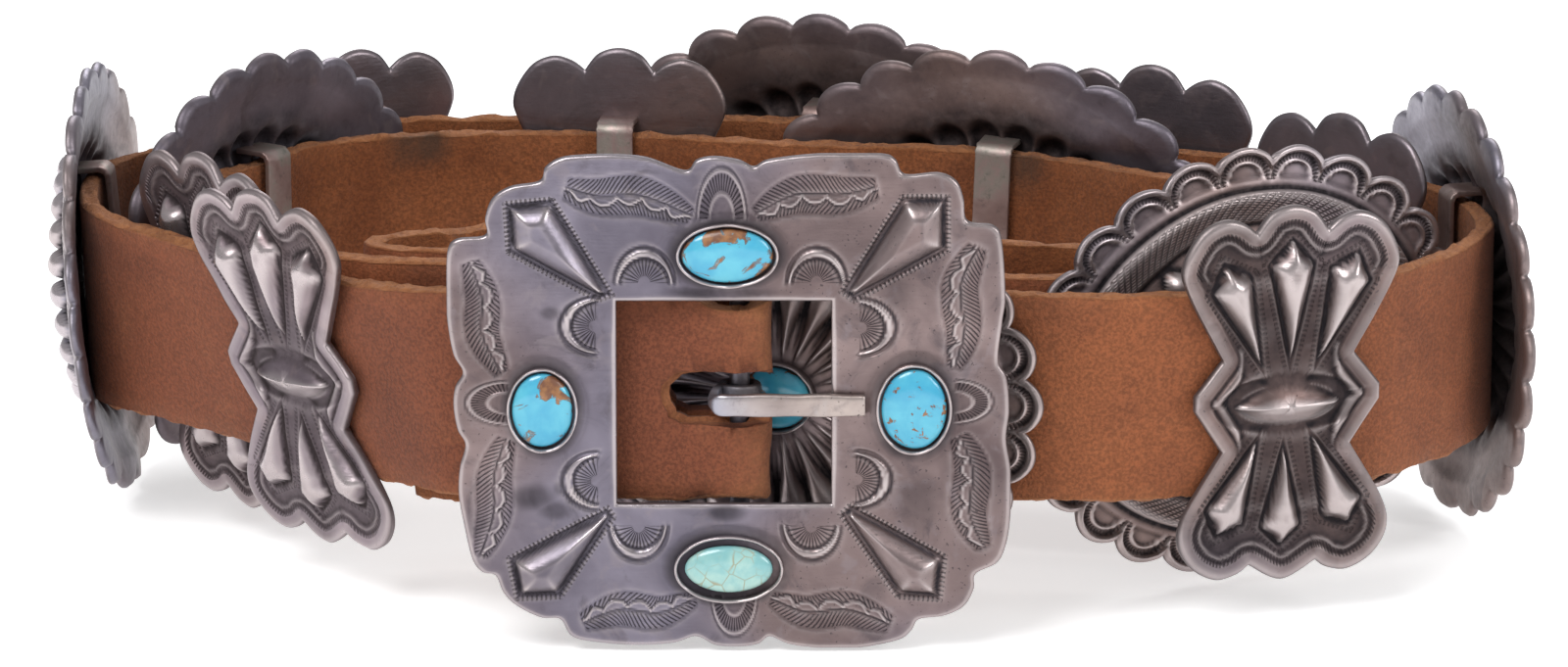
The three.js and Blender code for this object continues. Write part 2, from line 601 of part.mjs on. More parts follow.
// A domed concho, its rim's back on the plane z = 0 and its face towards +z.
function conchoSolid(row) {
  const halfWidth = CONCHO_WIDTH / 2;
  const halfHeight = CONCHO_HEIGHT / 2;
  const fullCount = 2 * CONCHO_LOBES;
  const ring = ({ radius, height }, lower, count) =>
    ellipse(radius * halfWidth, radius * halfHeight, height * CONCHO_RISE - lower, count);
  const rim = (z) =>
    ellipse(halfWidth, halfHeight, z, fullCount).map((point, i) =>
      i % 2 === 0 ? point : point.setX(point.x * LOBE_NOTCH).setY(point.y * LOBE_NOTCH),
    );
  const crests = ring(FLUTE_CREST, 0, 2 * CONCHO_FLUTES);
  const valleys = ring(FLUTE_VALLEY, 0, 2 * CONCHO_FLUTES);
  const flutes = crests.map((point, i) => (i % 2 === 0 ? valleys[i] : point));
  const back = [CONCHO_MIDDLE, FLUTE_VALLEY, CONCHO_FACE[1]].map((section) =>
    ring(section, CONCHO_SHEET, CONCHO_LOBES),
  );
  const face = CONCHO_FACE.map((section) => ring(section, 0, CONCHO_LOBES));
  const middle = CONCHO_MIDDLE.height * CONCHO_RISE;
  const plate = closedRings(
    new THREE.Vector3(0, 0, middle - CONCHO_SHEET),
    [...back, rim(0), rim(CONCHO_SHEET), ...face, flutes, ring(CONCHO_MIDDLE, 0, CONCHO_FLUTES)],
    new THREE.Vector3(0, 0, middle),
  );
  const seat = bezel(
    CONCHO_STONE_WIDTH + 2 * (CLEARANCE + BEZEL_WALL),
    CONCHO_STONE_HEIGHT + 2 * (CLEARANCE + BEZEL_WALL),
    middle - CONCHO_SHEET / 2,
    middle + BEZEL_RISE,
  );
  const strapDepth = row.nest * CONCHO_RISE;
  const loop = strapLoop(0, strapDepth, FLUTE_VALLEY.height * CONCHO_RISE - CONCHO_SHEET / 2);
  return joined([plate, seat, loop]);
}

function conchoStone() {
  return cabochon(CONCHO_STONE_WIDTH, CONCHO_STONE_HEIGHT, CONCHO_MIDDLE.height * CONCHO_RISE + CLEARANCE);
}

// A butterfly plate, its back on the plane z = 0 and its face towards +z.
function butterflySolid(row) {
  const halfWidth = BUTTERFLY_WIDTH / 2;
  const halfHeight = BUTTERFLY_HEIGHT / 2;
  const right = BUTTERFLY_EDGE.map(({ x, y }) => ({ x: x * halfWidth, y: y * halfHeight }));
  const left = right.slice(1, -1).reverse().map(({ x, y }) => ({ x: -x, y }));
  const plate = sheet([...right, ...left], [], 0, BUTTERFLY_SHEET);
  const ridges = BUTTERFLY_RIDGES.map((one) =>
    ridge(one, halfWidth, halfHeight, BUTTERFLY_SHEET / 2, BUTTERFLY_SHEET / 2 + BUTTERFLY_RIDGE),
  );
  const strapDepth = -CLEARANCE - (0.5 + row.lift) * STRAP_THICKNESS;
  const loop = strapLoop(row.drop * STRAP_WIDTH, strapDepth, BUTTERFLY_SHEET / 2);
  return joined([plate, ...ridges, loop]);
}

// The buckle in its own frame: the face towards +z at z = 0, y up, x to the right.
function buckleSolid() {
  const halfWidth = BUCKLE_WIDTH / 2;
  const halfHeight = BUCKLE_HEIGHT / 2;
  const edge = BUCKLE_EDGE.map(({ x, y }) => ({ x: x * halfWidth, y: y * halfHeight }));
  const window = [
    { x: WINDOW_SHIFT - WINDOW_WIDTH / 2, y: -WINDOW_HEIGHT / 2 },
    { x: WINDOW_SHIFT + WINDOW_WIDTH / 2, y: -WINDOW_HEIGHT / 2 },
    { x: WINDOW_SHIFT + WINDOW_WIDTH / 2, y: WINDOW_HEIGHT / 2 },
    { x: WINDOW_SHIFT - WINDOW_WIDTH / 2, y: WINDOW_HEIGHT / 2 },
  ];
  const plate = sheet(edge, [window], -BUCKLE_SHEET, 0);
  const ridges = BUCKLE_RIDGES.map((one) =>
    ridge(one, halfWidth, halfHeight, -BUCKLE_SHEET / 2, BUCKLE_SHEET / 2 + BUCKLE_RIDGE),
  );
  const bezels = BUCKLE_STONES.map(({ x, y, width, height }) =>
    bezel(width * BUCKLE_WIDTH, height * BUCKLE_HEIGHT, -BUCKLE_SHEET / 2, BEZEL_RISE).translate(
      x * halfWidth,
      y * halfHeight,
      0,
    ),
  );
  return joined([plate, ...ridges, ...bezels, ...barPieces()]);
}

// The upright bar behind the window, and its two legs to the plate's back beyond the strap's edges
function barPieces() {
  const middle = coilPoints[0].z - BUCKLE_Z;
  const reach = STRAP_WIDTH / 2 + LOOP_PLAY_HIGH;
  const length = 2 * (reach + BAR_LEG / 2);
  const bar = new THREE.CylinderGeometry(BAR_RADIUS, BAR_RADIUS, length, BAR_SIDES).translate(BAR_SHIFT, middle, -BAR_Y);
  const depth = BAR_Y - BUCKLE_SHEET / 2;
  const legs = [-1, 1].map((side) =>
    new THREE.BoxGeometry(BAR_DIAMETER, BAR_LEG, depth + BAR_RADIUS).translate(
      BAR_SHIFT,
      middle + side * (reach + BAR_LEG / 2),
      -(BUCKLE_SHEET / 2 + (depth + BAR_RADIUS) / 2),
    ),
  );
  return [bar, ...legs];
}

function buckleStone({ width, height, loose }) {
  const play = 2 * (BEZEL_WALL + CLEARANCE + loose);
  return cabochon(width * BUCKLE_WIDTH - play, height * BUCKLE_HEIGHT - play, CLEARANCE);
}

// The prong: a ring round the bar and an arm that comes out of the slot on the bar's left, turns and
// lies over the window's right edge.
function prongSolid() {
  const inner = BAR_RADIUS + CLEARANCE;
  const outer = inner + PRONG_SHEET;
  const tip = BUCKLE_X + WINDOW_SHIFT + WINDOW_WIDTH / 2 + PRONG_OVERLAP;
  const front = -CLEARANCE - PRONG_SHEET;
  const ring = sheet(
    ellipse(outer, outer, 0, BAR_SIDES),
    [ellipse(inner, inner, 0, BAR_SIDES)],
    -PRONG_WIDTH / 2,
    PRONG_WIDTH / 2,
  ).translate(BAR_X, BAR_Y, 0);
  const arm = sheet(
    [
      { x: BAR_X - outer, y: BAR_Y },
      { x: BAR_X - outer - 0.6 * PRONG_SHEET, y: -CLEARANCE },
      { x: BAR_X - outer - 0.2 * PRONG_SHEET, y: front + 0.3 * PRONG_SHEET },
      { x: BAR_X - outer + 0.7 * PRONG_SHEET, y: front },
      { x: tip, y: front },
      { x: tip, y: -CLEARANCE },
      { x: BAR_X - inner, y: -CLEARANCE },
      { x: BAR_X - inner - 0.4 * PRONG_SHEET, y: BAR_Y },
    ],
    [],
    -PRONG_WIDTH / 2,
    PRONG_WIDTH / 2,
  );
  return joined([ring, arm]);
}

// The assembly

const belt = new THREE.Group();

function addMesh(name, geometry, finish, matrix = new THREE.Matrix4()) {
  const mesh = new THREE.Mesh(geometry, new THREE.MeshStandardMaterial(finish));
  mesh.name = name;
  mesh.applyMatrix4(matrix);
  belt.add(mesh);
}

// Where a plate's own frame lies: x back along the strap, y up and z outwards, a depth out from the
// strap's middle.
function plateMatrix({ at, turn, tilt, roll }, depth, drop) {
  const share = (at + 1) / (coilPoints.length - 1);
  const way = coil.getTangent(share).setZ(0).normalize();
  way.applyAxisAngle(new THREE.Vector3(0, 0, 1), THREE.MathUtils.degToRad(turn));
  const lean = leans.getPoint(share).x + THREE.MathUtils.degToRad(tilt);
  const { up, outward } = leaningAxes(way, lean);
  const place = coil.getPoint(share).addScaledVector(outward, depth).addScaledVector(up, -drop);
  const matrix = new THREE.Matrix4().makeBasis(way.clone().negate(), up, outward).setPosition(place);
  return matrix.multiply(new THREE.Matrix4().makeRotationZ(THREE.MathUtils.degToRad(roll)));
}

addMesh("strap", geometryOf(strapSolid()), LEATHER);

const buckleMatrix = new THREE.Matrix4()
  .makeTranslation(BUCKLE_X, 0, BUCKLE_Z)
  .multiply(new THREE.Matrix4().makeRotationX(Math.PI / 2));
addMesh("buckle_frame", geometryOf(buckleSolid()), SILVER, buckleMatrix);
BUCKLE_STONES.forEach((row, i) => {
  const place = new THREE.Matrix4().makeTranslation((row.x * BUCKLE_WIDTH) / 2, (row.y * BUCKLE_HEIGHT) / 2, 0);
  const finish = row.loose > 0 ? PALE_TURQUOISE : TURQUOISE;
  addMesh(`buckle_stone_${i + 1}`, geometryOf(solidOf(buckleStone(row))), finish, buckleMatrix.clone().multiply(place));
});
const prongMatrix = new THREE.Matrix4().makeTranslation(0, 0, coilPoints[0].z);
addMesh("prong", geometryOf(prongSolid()), BRIGHT_SILVER, prongMatrix);

CONCHO_ROWS.forEach((row, i) => {
  const plate = geometryOf(conchoSolid(row));
  const matrix = plateMatrix(row, -row.nest * CONCHO_RISE, 0);
  const lowest = new THREE.Box3().setFromBufferAttribute(plate.clone().applyMatrix4(matrix).attributes.position).min.z;
  matrix.premultiply(new THREE.Matrix4().makeTranslation(0, 0, CONCHO_STAND - lowest));
  addMesh(`concho_${i + 1}`, plate, SILVER, matrix);
  addMesh(`concho_stone_${i + 1}`, geometryOf(solidOf(conchoStone())), TURQUOISE, matrix);
});

BUTTERFLY_ROWS.forEach((row, i) => {
  const matrix = plateMatrix(row, (0.5 + row.lift) * STRAP_THICKNESS + CLEARANCE, row.drop * STRAP_WIDTH);
  addMesh(`butterfly_${i + 1}`, geometryOf(butterflySolid(row)), SILVER, matrix);
});

const bounds = new THREE.Box3().setFromObject(belt, true);
const middle = bounds.getCenter(new THREE.Vector3());
belt.position.set(-middle.x, -middle.y, -bounds.min.z);

export default belt;
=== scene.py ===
"""The looks of a coiled concho belt: stamped silver plates, turquoise stones and a fuzzy leather strap.

Lengths are millimetres until a mesh is written, and metres after that. Each plate is shaped in its own
frame, x back along the strap, y up and z outwards, and is then set where the belt carries it.
"""

import logging
import math
from dataclasses import dataclass
from enum import Enum

import bpy
import numpy as np
from mathutils import Matrix, Vector


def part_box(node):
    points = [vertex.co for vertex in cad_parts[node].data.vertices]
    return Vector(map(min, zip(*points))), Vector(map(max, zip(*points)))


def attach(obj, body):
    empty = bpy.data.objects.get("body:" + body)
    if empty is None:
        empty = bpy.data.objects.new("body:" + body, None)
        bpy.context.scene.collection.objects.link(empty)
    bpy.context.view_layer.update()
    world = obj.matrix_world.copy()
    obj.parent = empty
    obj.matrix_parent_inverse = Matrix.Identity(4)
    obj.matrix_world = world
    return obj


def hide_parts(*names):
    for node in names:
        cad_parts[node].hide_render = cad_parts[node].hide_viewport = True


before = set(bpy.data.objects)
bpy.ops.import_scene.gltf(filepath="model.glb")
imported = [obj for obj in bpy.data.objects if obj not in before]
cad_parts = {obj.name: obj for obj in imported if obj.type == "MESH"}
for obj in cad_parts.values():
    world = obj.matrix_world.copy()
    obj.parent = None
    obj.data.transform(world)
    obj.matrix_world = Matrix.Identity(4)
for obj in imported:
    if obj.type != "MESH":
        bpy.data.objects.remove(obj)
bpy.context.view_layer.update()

LOG = logging.getLogger("belt")
MM = 0.001
SEED = 7

STRAP_WIDTH = 32.0
STRAP_THICKNESS = 3.0
COIL_WIDTH = 220.0
COIL_DEPTH = 140.0
CLEARANCE = 0.3
CONCHO_STAND = 1.0
CONCHO_HEIGHT = 67.5
BUCKLE_WIDTH = 84.0
BUCKLE_HEIGHT = 76.0
BUCKLE_SHEET = 1.3
BUCKLE_RIDGE = 2.4
BAR_DIAMETER = 3.0
BUCKLE_X = -0.037 * COIL_WIDTH
BAR_X = BUCKLE_X + 1.5
FOLD_RADIUS = BAR_DIAMETER / 2 + CLEARANCE + STRAP_THICKNESS / 2
FRONT_LAYER_Y = BUCKLE_SHEET + CLEARANCE + STRAP_THICKNESS / 2
BAR_Y = FRONT_LAYER_Y + FOLD_RADIUS
STACK_DEPTH = BAR_Y + FOLD_RADIUS + STRAP_THICKNESS / 2

# The strap's way round the coil: x and y as shares of the coil, which front y is measured from,
# the height of its middle as a share of its width, and its lean in degrees.
COIL_ROWS = (
    (-0.1, 0.0226, 0, 0.1, 0),
    (-0.173, 0.027, 0, 0.1, 0),
    (-0.227, 0.053, 0, 0.08, 3),
    (-0.271, 0.114, 0, 0.05, 9),
    (-0.33, 0.218, 0, 0.02, 13),
    (-0.374, 0.289, 0, 0.02, 13),
    (-0.41, 0.35, 0, 0.02, 11),
    (-0.457, 0.429, 0, 0.02, 9),
    (-0.489, 0.506, 0, 0.01, 3),
    (-0.496, 0.6, 0, 0.01, 3),
    (-0.491, 0.68, 0, 0.01, 5),
    (-0.474, 0.765, 0, 0, 5),
    (-0.43, 0.855, 0, -0.01, 2),
    (-0.37, 0.92, 0, -0.02, 0),
    (-0.29, 0.985, 0, -0.02, -1),
    (-0.2, 0.993, 0, -0.02, -3),
    (-0.09, 1, 0, -0.02, -4),
    (0.02, 0.985, 0, -0.02, -4),
    (0.15, 0.887, 0, -0.02, -3),
    (0.28, 0.807, 0, 0, -1),
    (0.39, 0.71, 0, 0.01, 0),
    (0.455, 0.63, 0, 0.01, 0),
    (0.486, 0.536, 0, 0.01, 0),
    (0.4955, 0.443, 0, 0.01, 0),
    (0.489, 0.371, 0, 0.02, 0),
    (0.467, 0.287, 0, 0.02, 0),
    (0.434, 0.215, 0, 0.02, 1),
    (0.4, 0.164, 0, 0.02, 2),
    (0.34, 0.122, 0, 0.02, 3),
    (0.268, 0.029, 1, 0.02, 2),
    (0.168, 0.024, 1, 0.02, 0),
    (-0.009, 0.1, 1, 0.01, 0),
    (-0.173, 0.178, 1, 0.01, 1),
    (-0.273, 0.206, 1, 0.01, 6),
    (-0.336, 0.266, 1, 0.01, 9),
    (-0.386, 0.343, 1, 0.01, 9),
    (-0.423, 0.434, 1, 0.01, 5),
    (-0.43, 0.53, 1, 0.01, 1),
    (-0.409, 0.608, 1, 0.01, 0),
    (-0.379, 0.679, 1, 0.01, 0),
    (-0.35, 0.746, 1, 0.02, 0),
    (-0.3, 0.786, 1, 0.02, 0),
    (-0.218, 0.813, 1, 0.02, 0),
    (-0.123, 0.808, 1, 0.02, 0),
    (-0.045, 0.775, 1, 0.02, 0),
    (0.03, 0.75, 1, 0.02, 0),
    (0.1, 0.74, 1, 0.02, -2),
    (0.16, 0.72, 1, 0.02, -3),
    (0.215, 0.673, 1, 0.02, -2),
    (0.262, 0.605, 1, 0.02, 0),
    (0.31, 0.548, 1, 0.01, 0),
    (0.353, 0.512, 1, 0.01, 2),
    (0.394, 0.456, 1, 0.01, 4),
    (0.418, 0.38, 1, 0.01, 4),
    (0.405, 0.313, 1, 0.01, 3),
    (0.3755, 0.2535, 1, 0.01, 3),
    (0.321, 0.2065, 1, 0.01, 3),
    (0.261, 0.1495, 1, 0.01, 2),
    (0.155, 0.112, 1, 0.01, 0),
    (0.0, 0.151, 1, 0.01, 0),
    (-0.16, 0.212, 1, 0.01, 0),
    (-0.24, 0.237, 1, 0.01, 0),
    (-0.277, 0.253, 1, 0.01, 0),
    (-0.288, 0.283, 1, 0.01, 0),
    (-0.27, 0.31, 1, 0.01, 0),
    (-0.23, 0.334, 1, 0.01, 0),
    (-0.16, 0.36, 1, 0.02, 0),
    (-0.05, 0.355, 1, 0.02, 0),
    (0.07, 0.307, 1, 0.02, 0),
    (0.16, 0.262, 1, 0.02, 0),
    (0.24, 0.246, 1, 0.02, 0),
)

BUCKLE_EDGE = (
    (-0.668, 0.891), (-0.647, 0.946), (-0.591, 0.984), (-0.508, 0.995), (-0.397, 0.997), (-0.287, 0.984),
    (-0.155, 0.933), (-0.114, 0.975), (-0.05, 0.989), (0.035, 0.975), (0.087, 0.949), (0.143, 0.977),
    (0.323, 1.0), (0.53, 1.0), (0.586, 0.977), (0.62, 0.918), (0.738, 0.924), (0.801, 0.891),
    (0.827, 0.822), (0.842, 0.732), (0.932, 0.713), (0.963, 0.651), (0.977, 0.434), (0.967, 0.326),
    (0.953, 0.171), (0.983, 0.1), (0.993, -0.03), (0.983, -0.148), (1.0, -0.28), (1.0, -0.45),
    (0.985, -0.574), (0.953, -0.651), (0.877, -0.698), (0.87, -0.76), (0.835, -0.829), (0.766, -0.868),
    (0.676, -0.884), (0.648, -0.93), (0.6, -0.969), (0.46, -1.0), (0.323, -1.0), (0.212, -0.984),
    (0.143, -0.953), (0.101, -0.984), (0.032, -0.995), (-0.051, -0.989), (-0.12, -0.953), (-0.204, -0.98),
    (-0.342, -0.989), (-0.481, -0.977), (-0.564, -0.953), (-0.605, -0.884), (-0.675, -0.876),
    (-0.758, -0.829), (-0.806, -0.775), (-0.834, -0.705), (-0.882, -0.69), (-0.917, -0.636),
    (-0.945, -0.496), (-0.963, -0.372), (-0.958, -0.264), (-0.938, -0.171), (-0.965, -0.109),
    (-0.979, -0.016), (-0.972, 0.062), (-0.945, 0.124), (-0.979, 0.202), (-1.0, 0.357), (-1.0, 0.512),
    (-0.993, 0.62), (-0.958, 0.659), (-0.861, 0.674), (-0.861, 0.744), (-0.834, 0.822), (-0.771, 0.868),
)

BUTTERFLY_EDGE = (
    (0.0, 1.0), (0.2, 0.965), (0.33, 0.87), (0.46, 0.925), (0.64, 0.945), (0.85, 0.88), (1.0, 0.72),
    (0.95, 0.57), (0.61, 0.2), (0.86, 0.02), (0.86, -0.06), (0.6, -0.29), (0.92, -0.6), (0.98, -0.76),
    (0.85, -0.9), (0.62, -0.975), (0.42, -0.955), (0.31, -0.91), (0.0, -1.0),
)


class Body(Enum):
    """The belt's two moving bodies."""

    BELT = "belt"
    PRONG = "prong"


class Slot(Enum):
    """The finishes that the record names."""

    LEATHER = "leather"
    SILVER = "silver"
    BRIGHT = "bright_silver"
    TURQUOISE = "turquoise"
    PALE = "pale_turquoise"


def smooth(low: float, high: float, value: np.ndarray) -> np.ndarray:
    """A soft step from 0 at low to 1 at high."""
    share = np.clip((value - low) / (high - low), 0, 1)
    return share * share * (3 - 2 * share)


def band(value: np.ndarray, middle: float, half: float) -> np.ndarray:
    """A rounded bump, 1 at the middle and 0 at half a width from it."""
    return np.clip(1 - ((value - middle) / half) ** 2, 0, 1)


def profile(share: np.ndarray, rows: tuple[tuple[float, float], ...]) -> np.ndarray:
    """A height read off a table of (share, height) rows."""
    return np.interp(share, [row[0] for row in rows], [row[1] for row in rows])


def spline(points: np.ndarray, count: int, closed: bool) -> np.ndarray:
    """Even points on a smooth line through some points.

    Args:
        points: the points that it passes through.
        count: how many points it gives.
        closed: whether the line comes back to its start.

    Returns:
        The points, with the first not repeated on a closed line.
    """
    ring = points[np.r_[-1, 0 : len(points), 0, 1]] if closed else points[np.r_[0, 0 : len(points), -1]]
    pieces = len(points) if closed else len(points) - 1
    share = np.linspace(0, pieces, pieces * 24 + 1)
    start = np.minimum(share.astype(int), pieces - 1)
    u = (share - start)[:, None]
    a, b, c, d = (ring[start + k] for k in range(4))
    fine = b + 0.5 * u * (c - a + u * (2 * a - 5 * b + 4 * c - d + u * (3 * (b - c) + d - a)))
    length = np.r_[0, np.cumsum(np.linalg.norm(np.diff(fine, axis=0), axis=1))]
    want = np.linspace(0, length[-1], count + 1)[:-1] if closed else np.linspace(0, length[-1], count)
    return np.stack([np.interp(want, length, fine[:, k]) for k in range(fine.shape[1])], axis=1)


def blurred(values: np.ndarray, passes: int) -> np.ndarray:
    """A grid of values that wraps round its columns, smoothed."""
    for _ in range(passes):
        values = (np.roll(values, 1, 1) + 2 * values + np.roll(values, -1, 1)) / 4
        padded = np.vstack([values[:1], values, values[-1:]])
        values = (padded[:-2] + 2 * values + padded[2:]) / 4
    return values


class Relief:
    """A stamped face: its height, and where fine strokes are cut, over a grid of places."""

    def __init__(self, x: np.ndarray, y: np.ndarray) -> None:
        """Starts flat, over the places x and y."""
        self.x = x
        self.y = y
        self.height = np.zeros_like(x)
        self.phase = np.zeros_like(x)
        self.strokes = np.full_like(x, -1.0)
        self.stain = np.zeros_like(x)

    def add(self, height: np.ndarray) -> None:
        """Raises the face."""
        self.height = self.height + height

    def cut_strokes(self, inside: np.ndarray, phase: np.ndarray) -> None:
        """Marks where strokes run.

        Args:
            inside: how far each place lies inside the stroked patch.
            phase: a value with one stroke at each whole number.
        """
        chosen = inside > self.strokes
        self.phase = np.where(chosen, phase, self.phase)
        self.strokes = np.where(chosen, inside, self.strokes)

    def kite(
        self, corners: list[tuple[float, float]], rise: float, slope: float, inset: float, teeth: float
    ) -> None:
        """Presses a kite out of the face, in a sunk panel with a toothed border.

        Args:
            corners: the kite's corners, anticlockwise.
            rise: its greatest height.
            slope: how far in from its edges it is rounded.
            inset: how far its foot lies inside its sunk panel's border.
            teeth: how wide the toothed border is, or 0.
        """
        inside, along = convex(corners, self.x, self.y)
        share = np.clip((inside - inset) / slope, 0, 1)
        self.add(rise * (0.8 * share * (2 - share) + 0.2 * share))
        self.add(-0.3 * smooth(-0.5, 0.0, inside) * smooth(inset + 0.5, inset, inside))
        if teeth > 0:
            self.cut_strokes(np.minimum(inside + 0.3 + teeth, -0.12 - inside), along / 0.7)
            self.add(-0.14 * band(inside, -0.3, 0.35))

    def arc(
        self, middle: tuple[float, float], towards: float, wide: float, high: float, rays: bool
    ) -> None:
        """Stamps an arch: a ring over half an oval, or a ticked one.

        Args:
            middle: the middle of its open side.
            towards: the way its crown points, in degrees from x.
            wide: half its width.
            high: its height.
            rays: whether strokes spread inside a raised ring, or run across a sunk one.
        """
        turn = math.radians(towards - 90)
        across = ((self.x - middle[0]) * math.cos(turn) + (self.y - middle[1]) * math.sin(turn)) / wide
        up = (-(self.x - middle[0]) * math.sin(turn) + (self.y - middle[1]) * math.cos(turn)) / high
        away = np.hypot(across, up)
        angle = np.arctan2(up, across)
        front = smooth(-0.06, 0.04, up)
        if rays:
            thick = 0.045 + 0.075 * np.clip(np.sin(angle), 0, 1)
            self.add(
                0.3 * band(away, 0.98 - thick, 1) ** 0.5 * smooth(
                    0.0, 0.05, thick - np.abs(away - 0.98 + thick)
                ) * front
            )
            self.add(-0.2 * (band(away, 0.94 - 2 * thick, 0.08) + band(away, 1.05, 0.08)) * front)
            reach = np.minimum(away - 0.2, 0.95 - 2 * thick - away) * wide
            self.cut_strokes(np.minimum(reach, up * high), angle / math.pi * 15)
        else:
            self.add(-0.2 * band(away, 0.8, 0.26) * front)
            self.add(0.12 * (band(away, 1.04, 0.08) + band(away, 0.54, 0.08)) * front)
            self.add(-0.16 * band(away, 1.14, 0.06) * front)
            reach = np.minimum(away - 0.6, 1.0 - away) * wide
            self.cut_strokes(np.minimum(reach, up * high), angle / math.pi * 22)

    def feather(self, points: list[tuple[float, float]], wide: float, side: int) -> None:
        """Stamps a feather: slanted strokes both sides of a midrib that carries a row of scallops.

        Args:
            points: the midrib's points, from the root to the tip.
            wide: half its greatest width.
            side: the side of the midrib with the scallops, 1 left or -1 right.
        """
        rib = spline(np.array(points, float), 60, False)
        run = np.r_[0, np.cumsum(np.linalg.norm(np.diff(rib, axis=0), axis=1))]
        way = np.gradient(rib, axis=0)
        way /= np.linalg.norm(way, axis=1)[:, None]
        low, high = rib.min(0) - wide - 1, rib.max(0) + wide + 1
        near = (self.x > low[0]) & (self.x < high[0]) & (self.y > low[1]) & (self.y < high[1])
        place = np.stack([self.x[near], self.y[near]], axis=1)
        offset = place[:, None, :] - rib[None]
        nearest = np.argmin((offset**2).sum(2), axis=1)
        step = offset[np.arange(len(place)), nearest]
        ahead = (step * way[nearest]).sum(1)
        length = run[nearest] + ahead
        out = (way[nearest, 0] * step[:, 1] - way[nearest, 1] * step[:, 0]) * side
        share = np.clip(length / run[-1], 0, 1)
        half = wide * np.clip(np.sin(math.pi * (0.1 + 0.84 * share)), 0.1, 1) ** 0.6
        open_end = smooth(-0.3, 0.1, length) * smooth(run[-1] + 0.3, run[-1] - 0.1, length)
        inside = smooth(0.1, -0.25, np.abs(out) - half) * open_end
        scallop = 1.25 * np.abs(
            np.sin(math.pi * 5 * share)
        ) ** 0.7 * smooth(0.02, 0.15, share) * smooth(1, 0.85, share)
        cut = -0.12 * inside - 0.1 * band(np.abs(out) - half, 0.05, 0.3) * open_end
        cut += 0.18 * band(out - scallop, 0.05, 0.26) * inside * (out > -0.2)
        cut -= 0.22 * band(out - scallop, 0.45, 0.22) * inside
        cut -= 0.24 * band(out, -0.1, 0.24) * inside
        clear = np.where(out > 0, out - scallop - 0.5, -out - 0.3)
        clear = np.minimum(np.minimum(clear, half - np.abs(out)), np.minimum(length, run[-1] - length))
        strokes = np.full_like(self.x, -1.0)
        phase = np.zeros_like(self.x)
        lifted = np.zeros_like(self.x)
        strokes[near] = clear
        phase[near] = (length - 0.75 * np.abs(out)) / 0.68
        lifted[near] = cut
        self.add(lifted)
        self.cut_strokes(strokes, phase)

    def spot(self, x: float, y: float, wide: float, high: float, strength: float) -> None:
        """Stains an oval spot."""
        away = np.hypot((self.x - x) / wide, (self.y - y) / high)
        self.stain = np.maximum(self.stain, strength * smooth(1.25, 0.35, away))

    def wavy(self, depth: float, length: float, seed: int) -> None:
        """Gives the face the slow waves that hammering leaves."""
        source = np.random.default_rng(seed)
        for _ in range(9):
            angle, start = source.uniform(0, 2 * math.pi, 2)
            way = 2 * math.pi / (length * source.uniform(0.6, 1.6))
            self.add(
                depth / 5 * np.sin(way * (self.x * math.cos(angle) + self.y * math.sin(angle)) + start)
            )


def convex(
    corners: list[tuple[float, float]], x: np.ndarray, y: np.ndarray
) -> tuple[np.ndarray, np.ndarray]:
    """How far places lie inside a convex outline.

    Args:
        corners: its corners, anticlockwise.
        x: the places' x.
        y: the places' y.

    Returns:
        The depth inside each place has, below 0 outside, and how far along the border it is.
    """
    depth = np.full_like(x, 1e9)
    along = np.zeros_like(x)
    run = 0.0
    for (ax, ay), (bx, by) in zip(corners, corners[1:] + corners[:1]):
        length = math.hypot(bx - ax, by - ay)
        ux, uy = (bx - ax) / length, (by - ay) / length
        inward = (y - ay) * ux - (x - ax) * uy
        chosen = inward < depth
        along = np.where(chosen, run + (x - ax) * ux + (y - ay) * uy, along)
        depth = np.where(chosen, inward, depth)
        run += length
    return depth, along


def linked(name: str, data: bpy.types.ID) -> bpy.types.Object:
    """A new object in the scene for some data."""
    made = bpy.data.objects.new(name, data)
    bpy.context.scene.collection.objects.link(made)
    return made


